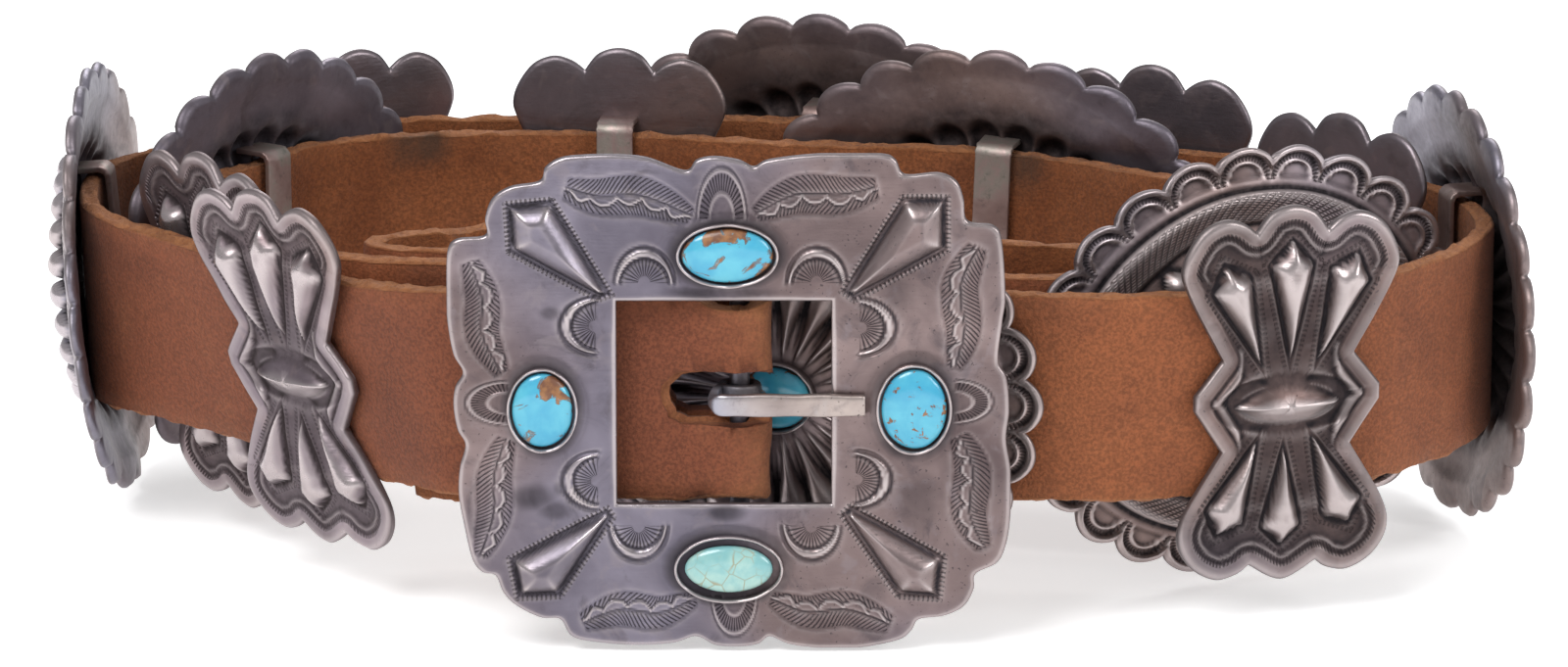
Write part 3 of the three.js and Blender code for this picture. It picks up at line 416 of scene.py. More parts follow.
@dataclass
class GridMesh:
    """A mesh over rows and columns of points, the columns running round and closing."""

    name: str
    points: np.ndarray
    looped: bool = False
    stamp: np.ndarray | None = None
    beads: np.ndarray | None = None
    values: dict[str, np.ndarray] | None = None

    def build(self, place: Matrix) -> bpy.types.Object:
        """Writes the mesh and sets it in place.

        Args:
            place: from millimetres in the piece's own frame to metres in the belt's.

        Returns:
            The new object, at the origin, with its place in its mesh.
        """
        rows, columns, _ = self.points.shape
        index = np.arange(rows * columns).reshape(rows, columns)
        upper = np.roll(index, -1, 0) if self.looped else index[1:]
        lower = index if self.looped else index[:-1]
        quads = np.stack(
            [lower, upper, np.roll(upper, -1, 1), np.roll(lower, -1, 1)], axis=2
        ).reshape(-1, 4)
        vertices = self.points.reshape(-1, 3)
        faces = quads.tolist()
        if not self.looped:
            ends = np.stack([self.points[0].mean(0), self.points[-1].mean(0)])
            first, last = len(vertices), len(vertices) + 1
            vertices = np.vstack([vertices, ends])
            faces += [[first, int(a), int(b)] for a, b in zip(index[0], np.roll(index[0], -1))]
            faces += [[last, int(b), int(a)] for a, b in zip(index[-1], np.roll(index[-1], -1))]
        matrix = np.array(place)
        vertices = vertices @ matrix[:3, :3].T + matrix[:3, 3]
        mesh = bpy.data.meshes.new(self.name)
        mesh.from_pydata(vertices.tolist(), [], faces)
        self._write_uv(mesh, "stamp", self.stamp)
        self._write_uv(mesh, "beads", self.beads)
        for name, values in (self.values or {}).items():
            layer = mesh.attributes.new(name, "FLOAT", "POINT")
            flat = np.zeros(len(vertices))
            flat[: rows * columns] = values.reshape(-1)
            if not self.looped:
                flat[-2:] = values[0].mean(), values[-1].mean()
            layer.data.foreach_set("value", flat)
        mesh.shade_smooth()
        mesh.update()
        return linked(self.name, mesh)

    def _write_uv(self, mesh: bpy.types.Mesh, name: str, pair: np.ndarray | None) -> None:
        """Writes a pair of values as a UV map, the last column being the first one's next turn.

        Args:
            mesh: the mesh.
            name: the map's name.
            pair: the values for each row and for one column more than the grid has.
        """
        if pair is None:
            return
        low = pair if self.looped else pair[:-1]
        high = np.roll(pair, -1, 0) if self.looped else pair[1:]
        corners = np.stack([low[:, :-1], high[:, :-1], high[:, 1:], low[:, 1:]], axis=2).reshape(-1, 2)
        flat = np.zeros((len(mesh.loops), 2))
        flat[: len(corners)] = corners
        mesh.uv_layers.new(name=name).data.foreach_set("uv", flat.reshape(-1))


def wrapped(values: np.ndarray) -> np.ndarray:
    """A grid of values with its first column again at the end."""
    return np.hstack([values, values[:, :1]])


def cavities(height: np.ndarray, passes: int, depth: float) -> tuple[np.ndarray, np.ndarray]:
    """Where a face is sunk and where it stands out.

    Args:
        height: the face's height over a grid.
        passes: how far round each place is looked at.
        depth: the difference that counts as full.

    Returns:
        The share sunk and the share proud, each from 0 to 1.
    """
    difference = (blurred(height, passes) - height) / depth
    return np.clip(difference, 0, 1), np.clip(-difference, 0, 1)


class CoilPath:
    """The strap's middle line round the coil, and the directions of the strap on it."""

    def __init__(self) -> None:
        """Sets out the points that the line passes through."""
        rows = np.array(COIL_ROWS, float)
        front = np.where(rows[:, 2] == 1, STACK_DEPTH, FRONT_LAYER_Y)
        height = CONCHO_STAND + CONCHO_HEIGHT / 2 + rows[:, 3] * STRAP_WIDTH
        points = np.stack([rows[:, 0] * COIL_WIDTH, front + rows[:, 1] * COIL_DEPTH, height], axis=1)
        start = [[BAR_X, FRONT_LAYER_Y, points[0, 2]]]
        leans = np.radians(np.r_[rows[0, 4], rows[:, 4]])
        self.points = np.vstack([start, points])
        self.leans = leans[:, None]

    @staticmethod
    def _on(values: np.ndarray, share: np.ndarray) -> np.ndarray:
        """A smooth line through values, read at shares of its whole."""
        at = np.clip(np.atleast_1d(share), 0, 1) * (len(values) - 1)
        start = np.minimum(at.astype(int), len(values) - 2)
        u = (at - start)[:, None]
        ends = np.vstack([2 * values[:1] - values[1:2], values, 2 * values[-1:] - values[-2:-1]])
        a, b, c, d = (ends[start + k] for k in range(4))
        return b + 0.5 * u * (c - a + u * (2 * a - 5 * b + 4 * c - d + u * (3 * (b - c) + d - a)))

    def stations(self, share: np.ndarray, turn: float = 0.0, tilt: float = 0.0) -> tuple[np.ndarray, ...]:
        """Where the strap is, and its directions.

        Args:
            share: the shares of the line.
            turn: a turn added to its way, seen from above, in degrees.
            tilt: a lean added to its own, in degrees.

        Returns:
            Its middle, the way it runs, up along its width, and outwards.
        """
        share = np.atleast_1d(share)
        way = self._on(self.points, share + 1e-4) - self._on(self.points, share - 1e-4)
        way[:, 2] = 0
        way /= np.linalg.norm(way, axis=1)[:, None]
        c, s = math.cos(math.radians(turn)), math.sin(math.radians(turn))
        way = np.stack([c * way[:, 0] - s * way[:, 1], s * way[:, 0] + c * way[:, 1], way[:, 2]], axis=1)
        lean = self._on(self.leans, share)[:, :1] + math.radians(tilt)
        side = np.stack([-way[:, 1], way[:, 0], np.zeros(len(way))], axis=1)
        upright = np.array([0.0, 0.0, 1.0])
        up = side * np.sin(lean) + upright * np.cos(lean)
        outward = side * np.cos(lean) - upright * np.sin(lean)
        return self._on(self.points, share), way, up, outward

    def even_shares(self, step: float) -> tuple[np.ndarray, np.ndarray]:
        """The shares of the line at even steps along it, and the length at each."""
        share = np.linspace(0, 1, 6000)
        length = np.r_[0, np.cumsum(np.linalg.norm(np.diff(self._on(self.points, share), axis=0), axis=1))]
        want = np.linspace(0, length[-1], int(length[-1] / step) + 1)
        return np.interp(want, length, share), want

    def plate_matrix(
        self, at: float, turn: float, tilt: float, roll: float, depth: float, drop: float
    ) -> Matrix:
        """Where a plate's own frame lies, in millimetres.

        Args:
            at: the coil row that it sits at.
            turn: its turn against the strap, seen from above, in degrees.
            tilt: its tilt outwards at the top, in degrees.
            roll: its roll in its own plane, in degrees.
            depth: how far out from the strap's middle it lies.
            drop: how far below the strap's middle it hangs.

        Returns:
            The frame as a matrix.
        """
        middle, way, up, outward = (
            v[0] for v in self.stations((at + 1) / (len(self.points) - 1), turn, tilt)
        )
        place = middle + outward * depth - up * drop
        basis = np.eye(4)
        basis[:3, 0], basis[:3, 1], basis[:3, 2], basis[:3, 3] = -way, up, outward, place
        return Matrix(basis.tolist()) @ Matrix.Rotation(math.radians(roll), 4, "Z")


def world_matrix() -> Matrix:
    """From the coil's own millimetres to the belt's frame in metres, found from the buckle's place."""
    low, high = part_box("buckle_frame")
    shift_x = (low.x + high.x) / 2 / MM - BUCKLE_X
    shift_y = low.y / MM + BUCKLE_RIDGE
    return Matrix.Diagonal((MM, MM, MM, 1)) @ Matrix.Translation((shift_x, shift_y, 0))


class Graph:
    """A tree of shader nodes, built with short calls."""

    def __init__(self, tree: bpy.types.NodeTree) -> None:
        """Takes the tree to build in."""
        self.tree = tree

    def node(self, kind: str, **settings: object) -> bpy.types.Node:
        """A new node with its settings."""
        made = self.tree.nodes.new(kind)
        for key, value in settings.items():
            setattr(made, key, value)
        return made

    def put(self, socket: bpy.types.NodeSocket, value: object) -> None:
        """Links a socket to another node's, or sets its plain value."""
        if isinstance(value, bpy.types.NodeSocket):
            self.tree.links.new(value, socket)
        else:
            socket.default_value = value

    def math(self, operation: str, *values: object, clamp: bool = False) -> bpy.types.NodeSocket:
        """The result of a sum on its values."""
        made = self.node("ShaderNodeMath", operation=operation, use_clamp=clamp)
        for socket, value in zip(made.inputs, values):
            self.put(socket, value)
        return made.outputs[0]

    def scaled(
        self, value: object, gain: object, offset: object, clamp: bool = False
    ) -> bpy.types.NodeSocket:
        """A value times a gain, and an offset added."""
        return self.math("MULTIPLY_ADD", value, gain, offset, clamp=clamp)

    def times(self, first: object, second: object, clamp: bool = False) -> bpy.types.NodeSocket:
        """The product of two values."""
        return self.math("MULTIPLY", first, second, clamp=clamp)

    def most(self, first: object, second: object) -> bpy.types.NodeSocket:
        """The larger of two values."""
        return self.math("MAXIMUM", first, second)

    def less(self, first: object, second: object) -> bpy.types.NodeSocket:
        """The first value less the second."""
        return self.math("SUBTRACT", first, second)

    def give(self, node: bpy.types.Node, **values: object) -> None:
        """Feeds a node's inputs by name, an underline standing for a space."""
        for key, value in values.items():
            self.put(node.inputs[key.replace("_", " ")], value)

    def mix(self, share: object, first: object, second: object, blend: str = "MIX") -> bpy.types.NodeSocket:
        """A colour between two."""
        made = self.node("ShaderNodeMix", data_type="RGBA", blend_type=blend)
        self.put(made.inputs[0], share)
        self.put(made.inputs[6], first)
        self.put(made.inputs[7], second)
        return made.outputs[2]

    def noise(
        self, place: object, scale: float, detail: float = 3.0, rough: float = 0.55, bend: float = 0.0
    ) -> bpy.types.NodeSocket:
        """A cloudy value from 0 to 1."""
        made = self.node("ShaderNodeTexNoise")
        self.give(made, Vector=place, Scale=scale, Detail=detail, Roughness=rough, Distortion=bend)
        return made.outputs[0]

    def step(
        self, value: object, low: float, high: float, start: float = 0.0, end: float = 1.0
    ) -> bpy.types.NodeSocket:
        """A soft step from start at low to end at high."""
        made = self.node("ShaderNodeMapRange", interpolation_type="SMOOTHSTEP")
        for socket, given in zip(made.inputs, (value, low, high, start, end)):
            self.put(socket, given)
        return made.outputs[0]

    def ramp(
        self, value: object, stops: tuple[tuple[float, tuple[float, float, float]], ...]
    ) -> bpy.types.NodeSocket:
        """A colour read off a row of stops."""
        made = self.node("ShaderNodeValToRGB")
        self.put(made.inputs[0], value)
        made.color_ramp.elements[0].position = stops[0][0]
        made.color_ramp.elements[0].color = (*stops[0][1], 1)
        made.color_ramp.elements[1].position = stops[-1][0]
        made.color_ramp.elements[1].color = (*stops[-1][1], 1)
        for position, colour in stops[1:-1]:
            made.color_ramp.elements.new(position).color = (*colour, 1)
        return made.outputs[0]

    def groups(self, name: str, **values: object) -> dict[str, bpy.types.NodeSocket]:
        """Places a shared group and gives its outputs by name."""
        made = self.node("ShaderNodeGroup", node_tree=bpy.data.node_groups[name])
        for key, value in values.items():
            self.put(made.inputs[key], value)
        return {socket.name: socket for socket in made.outputs}

    def attribute(self, name: str) -> bpy.types.NodeSocket:
        """A value kept on the mesh."""
        return self.node("ShaderNodeAttribute", attribute_name=name).outputs["Fac"]

    def stroke_map(self, name: str) -> tuple[bpy.types.NodeSocket, bpy.types.NodeSocket]:
        """The two values of a UV map."""
        uv = self.node("ShaderNodeUVMap", uv_map=name)
        parts = self.node("ShaderNodeSeparateXYZ")
        self.put(parts.inputs[0], uv.outputs[0])
        return parts.outputs[0], parts.outputs[1]


def new_group(
    name: str, inputs: tuple[tuple[str, str, object], ...], outputs: tuple[tuple[str, str], ...]
) -> tuple[Graph, dict[str, bpy.types.NodeSocket], bpy.types.Node]:
    """Starts a shared shader node group.

    Args:
        name: the group's name.
        inputs: each input's name, socket kind and plain value.
        outputs: each output's name and socket kind.

    Returns:
        Its graph, its inputs by name and its output node.
    """
    tree = bpy.data.node_groups.new(name, "ShaderNodeTree")
    for label, kind, value in inputs:
        made = tree.interface.new_socket(label, in_out="INPUT", socket_type=kind)
        if value is not None:
            made.default_value = value
    for label, kind in outputs:
        tree.interface.new_socket(label, in_out="OUTPUT", socket_type=kind)
    graph = Graph(tree)
    start = graph.node("NodeGroupInput")
    end = graph.node("NodeGroupOutput")
    return graph, {socket.name: socket for socket in start.outputs if socket.name}, end


# The rope band's inner and outer edge, as shares of a concho's radius
ROPE = (0.668, 0.792)
FLOAT, COLOR, VECTOR = "NodeSocketFloat", "NodeSocketColor", "NodeSocketVector"
SURFACE = (("Colour", COLOR), ("Roughness", FLOAT), ("Height", FLOAT))


def build_patina_group() -> None:
    """The look of old silver: oxide in the hollows, bright metal on what is rubbed, fine scratches. Some pieces
    also put painted shade into Sunk and painted highlights into Proud.
    """
    graph, given, end = new_group(
        "Old silver",
        (
            ("Place", VECTOR, None),
            ("Sunk", FLOAT, 0.0),
            ("Proud", FLOAT, 0.0),
            ("Stain", FLOAT, 0.0),
            ("Strokes", FLOAT, 0.0),
            ("Tarnish", FLOAT, 0.4),
            ("Clean", COLOR, (0.6, 0.57, 0.58, 1)),
            ("Dull", COLOR, (0.3, 0.28, 0.31, 1)),
            ("Oxide", COLOR, (0.05, 0.045, 0.055, 1)),
        ),
        SURFACE,
    )
    place = given["Place"]
    cloud = graph.noise(place, 55, 4, 0.6, 0.4)
    wide = graph.noise(place, 14, 2, 0.5, 0.2)
    grain = graph.noise(place, 900, 3, 0.65)
    dulled = graph.math("ADD", given["Tarnish"], graph.scaled(cloud, 2.0, -1.0), clamp=True)
    dulled = graph.math("ADD", dulled, graph.scaled(wide, 0.9, -0.45), clamp=True)
    base = graph.mix(dulled, given["Clean"], given["Dull"])
    cool = graph.mix(graph.step(wide, 0.42, 0.58), (0.88, 0.95, 1.12, 1), (1.14, 0.98, 0.86, 1))
    base = graph.mix(0.85, base, cool, "MULTIPLY")
    smudge = graph.step(graph.noise(place, 120, 5, 0.65, 0.8), 0.52, 0.72, 0.0, 0.55)
    base = graph.mix(smudge, base, graph.mix(0.5, given["Dull"], given["Oxide"]))
    worn = graph.step(graph.noise(place, 210, 3, 0.6, 0.5), 0.56, 0.7, 0.0, 0.35)
    base = graph.mix(worn, base, given["Clean"])
    uneven = graph.scaled(grain, 0.6, 0.7)
    sunk = graph.times(given["Sunk"], uneven, clamp=True)
    sunk = graph.most(sunk, graph.times(given["Strokes"], 0.8))
    stain = graph.times(given["Stain"], graph.step(cloud, 0.25, 0.6, 0.35, 1.0), clamp=True)
    pits = graph.step(graph.noise(place, 1900, 2, 0.5), 0.66, 0.72, 0.0, 0.6)
    pits = graph.times(pits, graph.step(wide, 0.42, 0.6))
    dark = graph.most(graph.most(sunk, stain), pits)
    base = graph.mix(dark, base, given["Oxide"])
    rubbed = graph.times(given["Proud"], graph.less(1.0, stain), clamp=True)
    base = graph.mix(graph.times(rubbed, 0.7), base, (0.6, 0.53, 0.525, 1))
    rough = graph.scaled(dulled, 0.14, 0.26)
    rough = graph.scaled(dark, 0.3, rough)
    rough = graph.scaled(rubbed, -0.1, rough)
    rough = graph.scaled(grain, 0.12, rough, clamp=True)
    stretched = graph.node("ShaderNodeMapping")
    graph.put(stretched.inputs[0], place)
    stretched.inputs["Scale"].default_value = (260, 900, 2400)
    stretched.inputs["Rotation"].default_value = (0.4, 0.9, 0.3)
    scratch = graph.noise(stretched.outputs[0], 1, 2, 0.5)
    height = graph.scaled(scratch, 0.16, graph.times(grain, 0.22))
    height = graph.scaled(graph.noise(place, 260, 2, 0.5), 0.5, height)
    height = graph.less(height, given["Strokes"])
    graph.give(end, Colour=base, Roughness=rough, Height=height)


def build_stroke_group() -> None:
    """Fine punched strokes: a groove at each whole number of the phase, between two depths."""
    graph, given, end = new_group(
        "Punch strokes",
        (
            ("Phase", FLOAT, 0.0),
            ("Depth", FLOAT, 0.0),
            ("Low", FLOAT, 0.0),
            ("High", FLOAT, 100.0),
            ("Soft", FLOAT, 0.12),
            ("Width", FLOAT, 0.45),
        ),
        (("Groove", FLOAT),),
    )
    saw = graph.math("ABSOLUTE", graph.less(graph.math("FRACT", given["Phase"]), 0.5))
    groove = graph.step(saw, graph.scaled(given["Width"], -0.5, 0.45), 0.48)
    rising = graph.step(given["Depth"], given["Low"], graph.math("ADD", given["Low"], given["Soft"]))
    falling = graph.step(given["Depth"], graph.less(given["High"], given["Soft"]), given["High"], 1.0, 0.0)
    mask = graph.times(rising, falling)
    graph.put(end.inputs["Groove"], graph.times(groove, mask, clamp=True))


def build_leather_group() -> None:
    """Oiled leather: grain side, napped flesh side and fuzzy cut edges."""
    graph, given, end = new_group(
        "Worn leather",
        (("Place", VECTOR, None), ("Along", FLOAT, 0.0), ("Flesh", FLOAT, 0.0), ("Fuzz", FLOAT, 0.0)),
        SURFACE,
    )
    place = given["Place"]
    pebble = graph.noise(place, 1900, 4, 0.62)
    nap = graph.noise(place, 700, 5, 0.7, 0.6)
    cloud = graph.noise(place, 38, 4, 0.6, 0.4)
    patch = graph.noise(place, 90, 3, 0.6, 0.3)
    grain = graph.ramp(
        given["Along"],
        (
            (0.0, (0.165, 0.05, 0.024)),
            (0.12, (0.19, 0.058, 0.027)),
            (0.3, (0.18, 0.055, 0.025)),
            (0.42, (0.25, 0.081, 0.031)),
            (0.5, (0.23, 0.068, 0.027)),
            (1.0, (0.2, 0.058, 0.025)),
        ),
    )
    flesh = graph.mix(graph.step(cloud, 0.35, 0.65), (0.16, 0.048, 0.016, 1), (0.27, 0.09, 0.03, 1))
    base = graph.mix(given["Flesh"], grain, flesh)
    base = graph.mix(graph.step(cloud, 0.42, 0.7, 0.0, 0.55), base, (0.11, 0.034, 0.018, 1))
    base = graph.mix(graph.step(patch, 0.5, 0.75, 0.0, 0.25), base, (0.31, 0.115, 0.05, 1))
    speck = graph.step(pebble, 0.36, 0.66, 0.74, 1.22)
    shade = graph.node("ShaderNodeCombineXYZ")
    for socket in shade.inputs:
        graph.put(socket, speck)
    base = graph.mix(1.0, base, shade.outputs[0], "MULTIPLY")
    tuft = graph.step(nap, 0.3, 0.65, 0.35, 1.0)
    base = graph.mix(graph.times(given["Fuzz"], tuft, clamp=True), base, (0.4, 0.165, 0.066, 1))
    nap_height = graph.times(nap, graph.scaled(given["Flesh"], 0.9, given["Fuzz"]))
    height = graph.scaled(nap_height, 1.2, graph.times(pebble, 0.5))
    height = graph.scaled(cloud, 0.8, height)
    rough = graph.scaled(given["Flesh"], 0.2, 0.62)
    rough = graph.scaled(pebble, 0.12, rough, clamp=True)
    graph.give(end, Colour=base, Roughness=rough, Height=height)


def build_stone_group() -> None:
    """Turquoise with brown matrix: clouds of blue, patches of brown and thin dark lines round them."""
    graph, given, end = new_group(
        "Turquoise matrix",
        (
            ("Place", VECTOR, None),
            ("Blue", COLOR, (0.09, 0.5, 0.66, 1)),
            ("Cloud", COLOR, (0.2, 0.62, 0.72, 1)),
            ("Patch share", FLOAT, 0.5),
            ("Speck share", FLOAT, 0.5),
            ("Crackle share", FLOAT, 0.0),
        ),
        SURFACE,
    )
    place = given["Place"]
    cloud = graph.noise(place, 160, 4, 0.55, 0.4)
    patches = graph.noise(place, 190, 5, 0.6, 0.9)
    specks = graph.noise(place, 620, 4, 0.6, 0.6)
    tint = graph.noise(place, 520, 3, 0.6)
    base = graph.mix(graph.step(cloud, 0.35, 0.7), given["Blue"], given["Cloud"])
    brown = graph.mix(graph.step(tint, 0.38, 0.62), (0.15, 0.06, 0.03, 1), (0.28, 0.125, 0.045, 1))
    brown = graph.mix(graph.step(tint, 0.66, 0.72), brown, (0.3, 0.2, 0.17, 1))
    gate = graph.less(1.0, given["Patch share"])
    patch = graph.step(graph.less(patches, gate), 0.0, 0.02)
    rim = graph.step(graph.math("ABSOLUTE", graph.less(patches, gate)), 0.0, 0.016, 0.8, 0.0)
    speck = graph.step(graph.less(specks, graph.less(1.0, given["Speck share"])), 0.0, 0.03)
    cells = graph.node("ShaderNodeTexVoronoi", feature="DISTANCE_TO_EDGE")
    graph.put(cells.inputs["Vector"], place)
    cells.inputs["Scale"].default_value = 420
    crack = graph.times(graph.step(cells.outputs["Distance"], 0.0, 0.05, 1.0, 0.0), given["Crackle share"])
    crack = graph.times(crack, graph.step(cloud, 0.4, 0.6))
    base = graph.mix(speck, base, brown)
    base = graph.mix(patch, base, brown)
    base = graph.mix(rim, base, (0.12, 0.06, 0.03, 1))
    base = graph.mix(crack, base, (0.3, 0.24, 0.12, 1))
    marked = graph.most(graph.most(patch, speck), crack)
    rough = graph.scaled(marked, 0.28, 0.16)
    graph.give(end, Colour=base, Roughness=rough, Height=graph.times(marked, -1.0))


@dataclass(frozen=True)
class Finish:
    """What every finish shares: a name, and a material with a Principled shader."""

    name: str

    def start(self) -> tuple[bpy.types.Material, Graph, bpy.types.Node, bpy.types.NodeSocket]:
        """A new material, its graph, its shader and the place on the piece."""
        material = bpy.data.materials.new(self.name)
        material.use_nodes = True
        graph = Graph(material.node_tree)
        shader = material.node_tree.nodes["Principled BSDF"]
        place = graph.node("ShaderNodeTexCoord").outputs["Object"]
        return material, graph, shader, place

    @staticmethod
    def bump(graph: Graph, shader: bpy.types.Node, height: bpy.types.NodeSocket, distance: float) -> None:
        """Feeds a height to the shader through a Bump node."""
        made = graph.node("ShaderNodeBump")
        graph.give(made, Strength=1.0, Distance=distance, Height=height)
        graph.put(shader.inputs["Normal"], made.outputs[0])


class Punch(Enum):
    """The punched patterns that a silver piece can carry."""

    NONE = "none"
    PATCHES = "patches"
    ROPE = "rope"
    BORDERS = "borders"


@dataclass(frozen=True)
class SilverFinish(Finish):
    """Silver that has darkened with age, more or less."""

    tarnish: float = 0.4
    clean: tuple[float, float, float] = (0.6, 0.56, 0.58)
    dull: tuple[float, float, float] = (0.3, 0.27, 0.31)
    oxide: tuple[float, float, float] = (0.035, 0.03, 0.036)
    punch: Punch = Punch.PATCHES

    def strokes(self, graph: Graph) -> bpy.types.NodeSocket:
        """The punched strokes' grooves."""
        phase, depth = graph.stroke_map("stamp")
        if self.punch is Punch.PATCHES:
            return graph.groups("Punch strokes", Phase=phase, Depth=depth, Width=0.5)["Groove"]
        cross, level = graph.stroke_map("beads")
        if self.punch is Punch.ROPE:
            ticks = graph.groups("Punch strokes", Phase=phase, Depth=depth, Width=0.5)["Groove"]
            slant = graph.scaled(level, 30.0, cross)
            inside = {"Depth": level, "Low": ROPE[0], "High": ROPE[1], "Soft": 0.006}
            twist = graph.groups("Punch strokes", Phase=slant, Width=0.55, **inside)
            bead = graph.scaled(level, 84.0, graph.times(cross, -0.6))
            beads = graph.groups("Punch strokes", Phase=bead, Width=0.6, **inside)
            rope = graph.most(twist["Groove"], graph.times(beads["Groove"], 0.9))
            return graph.most(ticks, rope)
        ticks = graph.groups(
            "Punch strokes", Phase=phase, Depth=depth, Low=2.0, High=3.25, Width=0.68
        )["Groove"]
        teeth = graph.groups(
            "Punch strokes", Phase=cross, Depth=level, Low=0.6, High=1.35, Width=0.74
        )["Groove"]
        return graph.most(ticks, teeth)

    def material(self) -> bpy.types.Material:
        """The finish as a material."""
        material, graph, shader, place = self.start()
        values: dict[str, object] = {}
        if self.punch is not Punch.NONE:
            values = {"Strokes": self.strokes(graph), "Stain": graph.attribute("stain")}
            values |= {"Sunk": graph.attribute("sunk"), "Proud": graph.attribute("proud")}
        out = graph.groups(
            "Old silver",
            Place=place,
            Tarnish=self.tarnish,
            Clean=(*self.clean, 1),
            Dull=(*self.dull, 1),
            Oxide=(*self.oxide, 1),
            **values,
        )
        graph.give(shader, Base_Color=out["Colour"], Roughness=out["Roughness"], Metallic=0.88)
        self.bump(graph, shader, out["Height"], 0.00016)
        return material


DARK_OXIDE = (0.024, 0.02, 0.023)
BUCKLE_SILVER = SilverFinish("buckle silver", 0.45, (0.25, 0.212, 0.228), (0.098, 0.08, 0.092))
BAR_SILVER = SilverFinish("bar silver", 0.9, (0.3, 0.28, 0.29), (0.12, 0.11, 0.12), punch=Punch.NONE)
PRONG_SILVER = SilverFinish("bright prong", 0.25, (0.44, 0.42, 0.43), (0.2, 0.18, 0.19))
CONCHO_SILVER = SilverFinish(
    "concho silver", 0.75, (0.42, 0.35, 0.355), (0.2, 0.16, 0.165), DARK_OXIDE, Punch.ROPE
)
PALE_CONCHO_SILVER = SilverFinish(
    "pale concho silver", 0.35, (0.42, 0.37, 0.385), (0.22, 0.19, 0.2), (0.035, 0.03, 0.035), Punch.ROPE
)
WARM_SILVER = SilverFinish(
    "warm butterfly silver", 0.45, (0.3, 0.225, 0.22), (0.12, 0.088, 0.09), (0.05, 0.038, 0.04), Punch.BORDERS
)
DARK_SILVER = SilverFinish(
    "dark butterfly silver", 0.7, (0.26, 0.2, 0.2), (0.075, 0.058, 0.062), DARK_OXIDE, Punch.BORDERS
)


@dataclass(frozen=True)
class LeatherFinish(Finish):
    """The strap's leather."""

    def material(self) -> bpy.types.Material:
        """The finish as a material."""
        material, graph, shader, place = self.start()
        along, _ = graph.stroke_map("strap")
        out = graph.groups(
            "Worn leather",
            Place=place,
            Along=along,
            Flesh=graph.attribute("flesh"),
            Fuzz=graph.attribute("fuzz"),
        )
        stain = graph.times(graph.attribute("stain"), graph.noise(place, 130, 3), clamp=True)
        base = graph.mix(graph.times(stain, 1.35, clamp=True), out["Colour"], (0.05, 0.03, 0.02, 1))
        graph.give(shader, Base_Color=base, Roughness=out["Roughness"], Specular_IOR_Level=0.2)
        graph.give(shader, Sheen_Weight=0.05, Sheen_Roughness=0.5)
        self.bump(graph, shader, out["Height"], 0.0005)
        return material


@dataclass(frozen=True)
class StoneFinish(Finish):
    """One turquoise stone's colours and how much matrix it has."""

    blue: tuple[float, float, float] = (0.05, 0.34, 0.52)
    cloud: tuple[float, float, float] = (0.1, 0.45, 0.58)
    patches: float = 0.4
    specks: float = 0.32
    crackle: float = 0.0

    def material(self) -> bpy.types.Material:
        """The finish as a material."""
        material, graph, shader, place = self.start()
        out = graph.groups(
            "Turquoise matrix",
            Place=place,
            Blue=(*self.blue, 1),
            Cloud=(*self.cloud, 1),
            **{"Patch share": self.patches, "Speck share": self.specks, "Crackle share": self.crackle},
        )
        graph.give(shader, Base_Color=out["Colour"], Roughness=out["Roughness"])
        graph.give(shader, Coat_Weight=0.35, Coat_Roughness=0.12)
        self.bump(graph, shader, out["Height"], 0.00005)
        return material


@dataclass(frozen=True)
class CopperFinish(Finish):
    """The plates' strap loops: pinkish copper, grey with wear, with green where damp has sat."""

    green: float = 0.3

    def material(self) -> bpy.types.Material:
        """The finish as a material."""
        material, graph, shader, place = self.start()
        cloud = graph.noise(place, 70, 4, 0.6, 0.5)
        fine = graph.noise(place, 600, 4, 0.65)
        base = graph.mix(graph.step(cloud, 0.35, 0.65), (0.22, 0.145, 0.13, 1), (0.38, 0.285, 0.265, 1))
        base = graph.mix(graph.step(fine, 0.55, 0.75, 0.0, 0.6), base, (0.1, 0.07, 0.06, 1))
        green = graph.times(graph.step(cloud, 0.5, 0.6), graph.step(fine, 0.35, 0.55))
        green = graph.times(green, self.green * 2)
        base = graph.mix(green, base, (0.13, 0.27, 0.2, 1))
        graph.give(shader, Base_Color=base, Roughness=graph.scaled(fine, 0.3, 0.32), Metallic=0.75)
        self.bump(graph, shader, fine, 0.0001)
        return material


def deselect() -> None:
    """Leaves nothing selected."""
    for thing in bpy.context.selected_objects:
        thing.select_set(False)


def make_active(thing: bpy.types.Object) -> None:
    """Selects one object alone and makes it active."""
    deselect()
    thing.select_set(True)
    bpy.context.view_layer.objects.active = thing


def apply_modifier(thing: bpy.types.Object, kind: str, **settings: object) -> None:
    """Adds a modifier with its settings and applies it."""
    make_active(thing)
    made = thing.modifiers.new(kind.title(), kind)
    for key, value in settings.items():
        setattr(made, key, value)
    bpy.ops.object.modifier_apply(modifier=made.name)


def combine(thing: bpy.types.Object, other: bpy.types.Object, operation: str, solver: str) -> None:
    """Adds another object to a piece or cuts it away, and removes the other."""
    apply_modifier(thing, "BOOLEAN", operation=operation, object=other, solver=solver)
    bpy.data.objects.remove(other)


def settle(thing: bpy.types.Object, place: Matrix) -> bpy.types.Object:
    """Puts a place, after the object's own, into its mesh, and leaves the object at the origin."""
    thing.data.transform(place @ thing.matrix_basis)
    thing.matrix_basis = Matrix.Identity(4)
    return thing


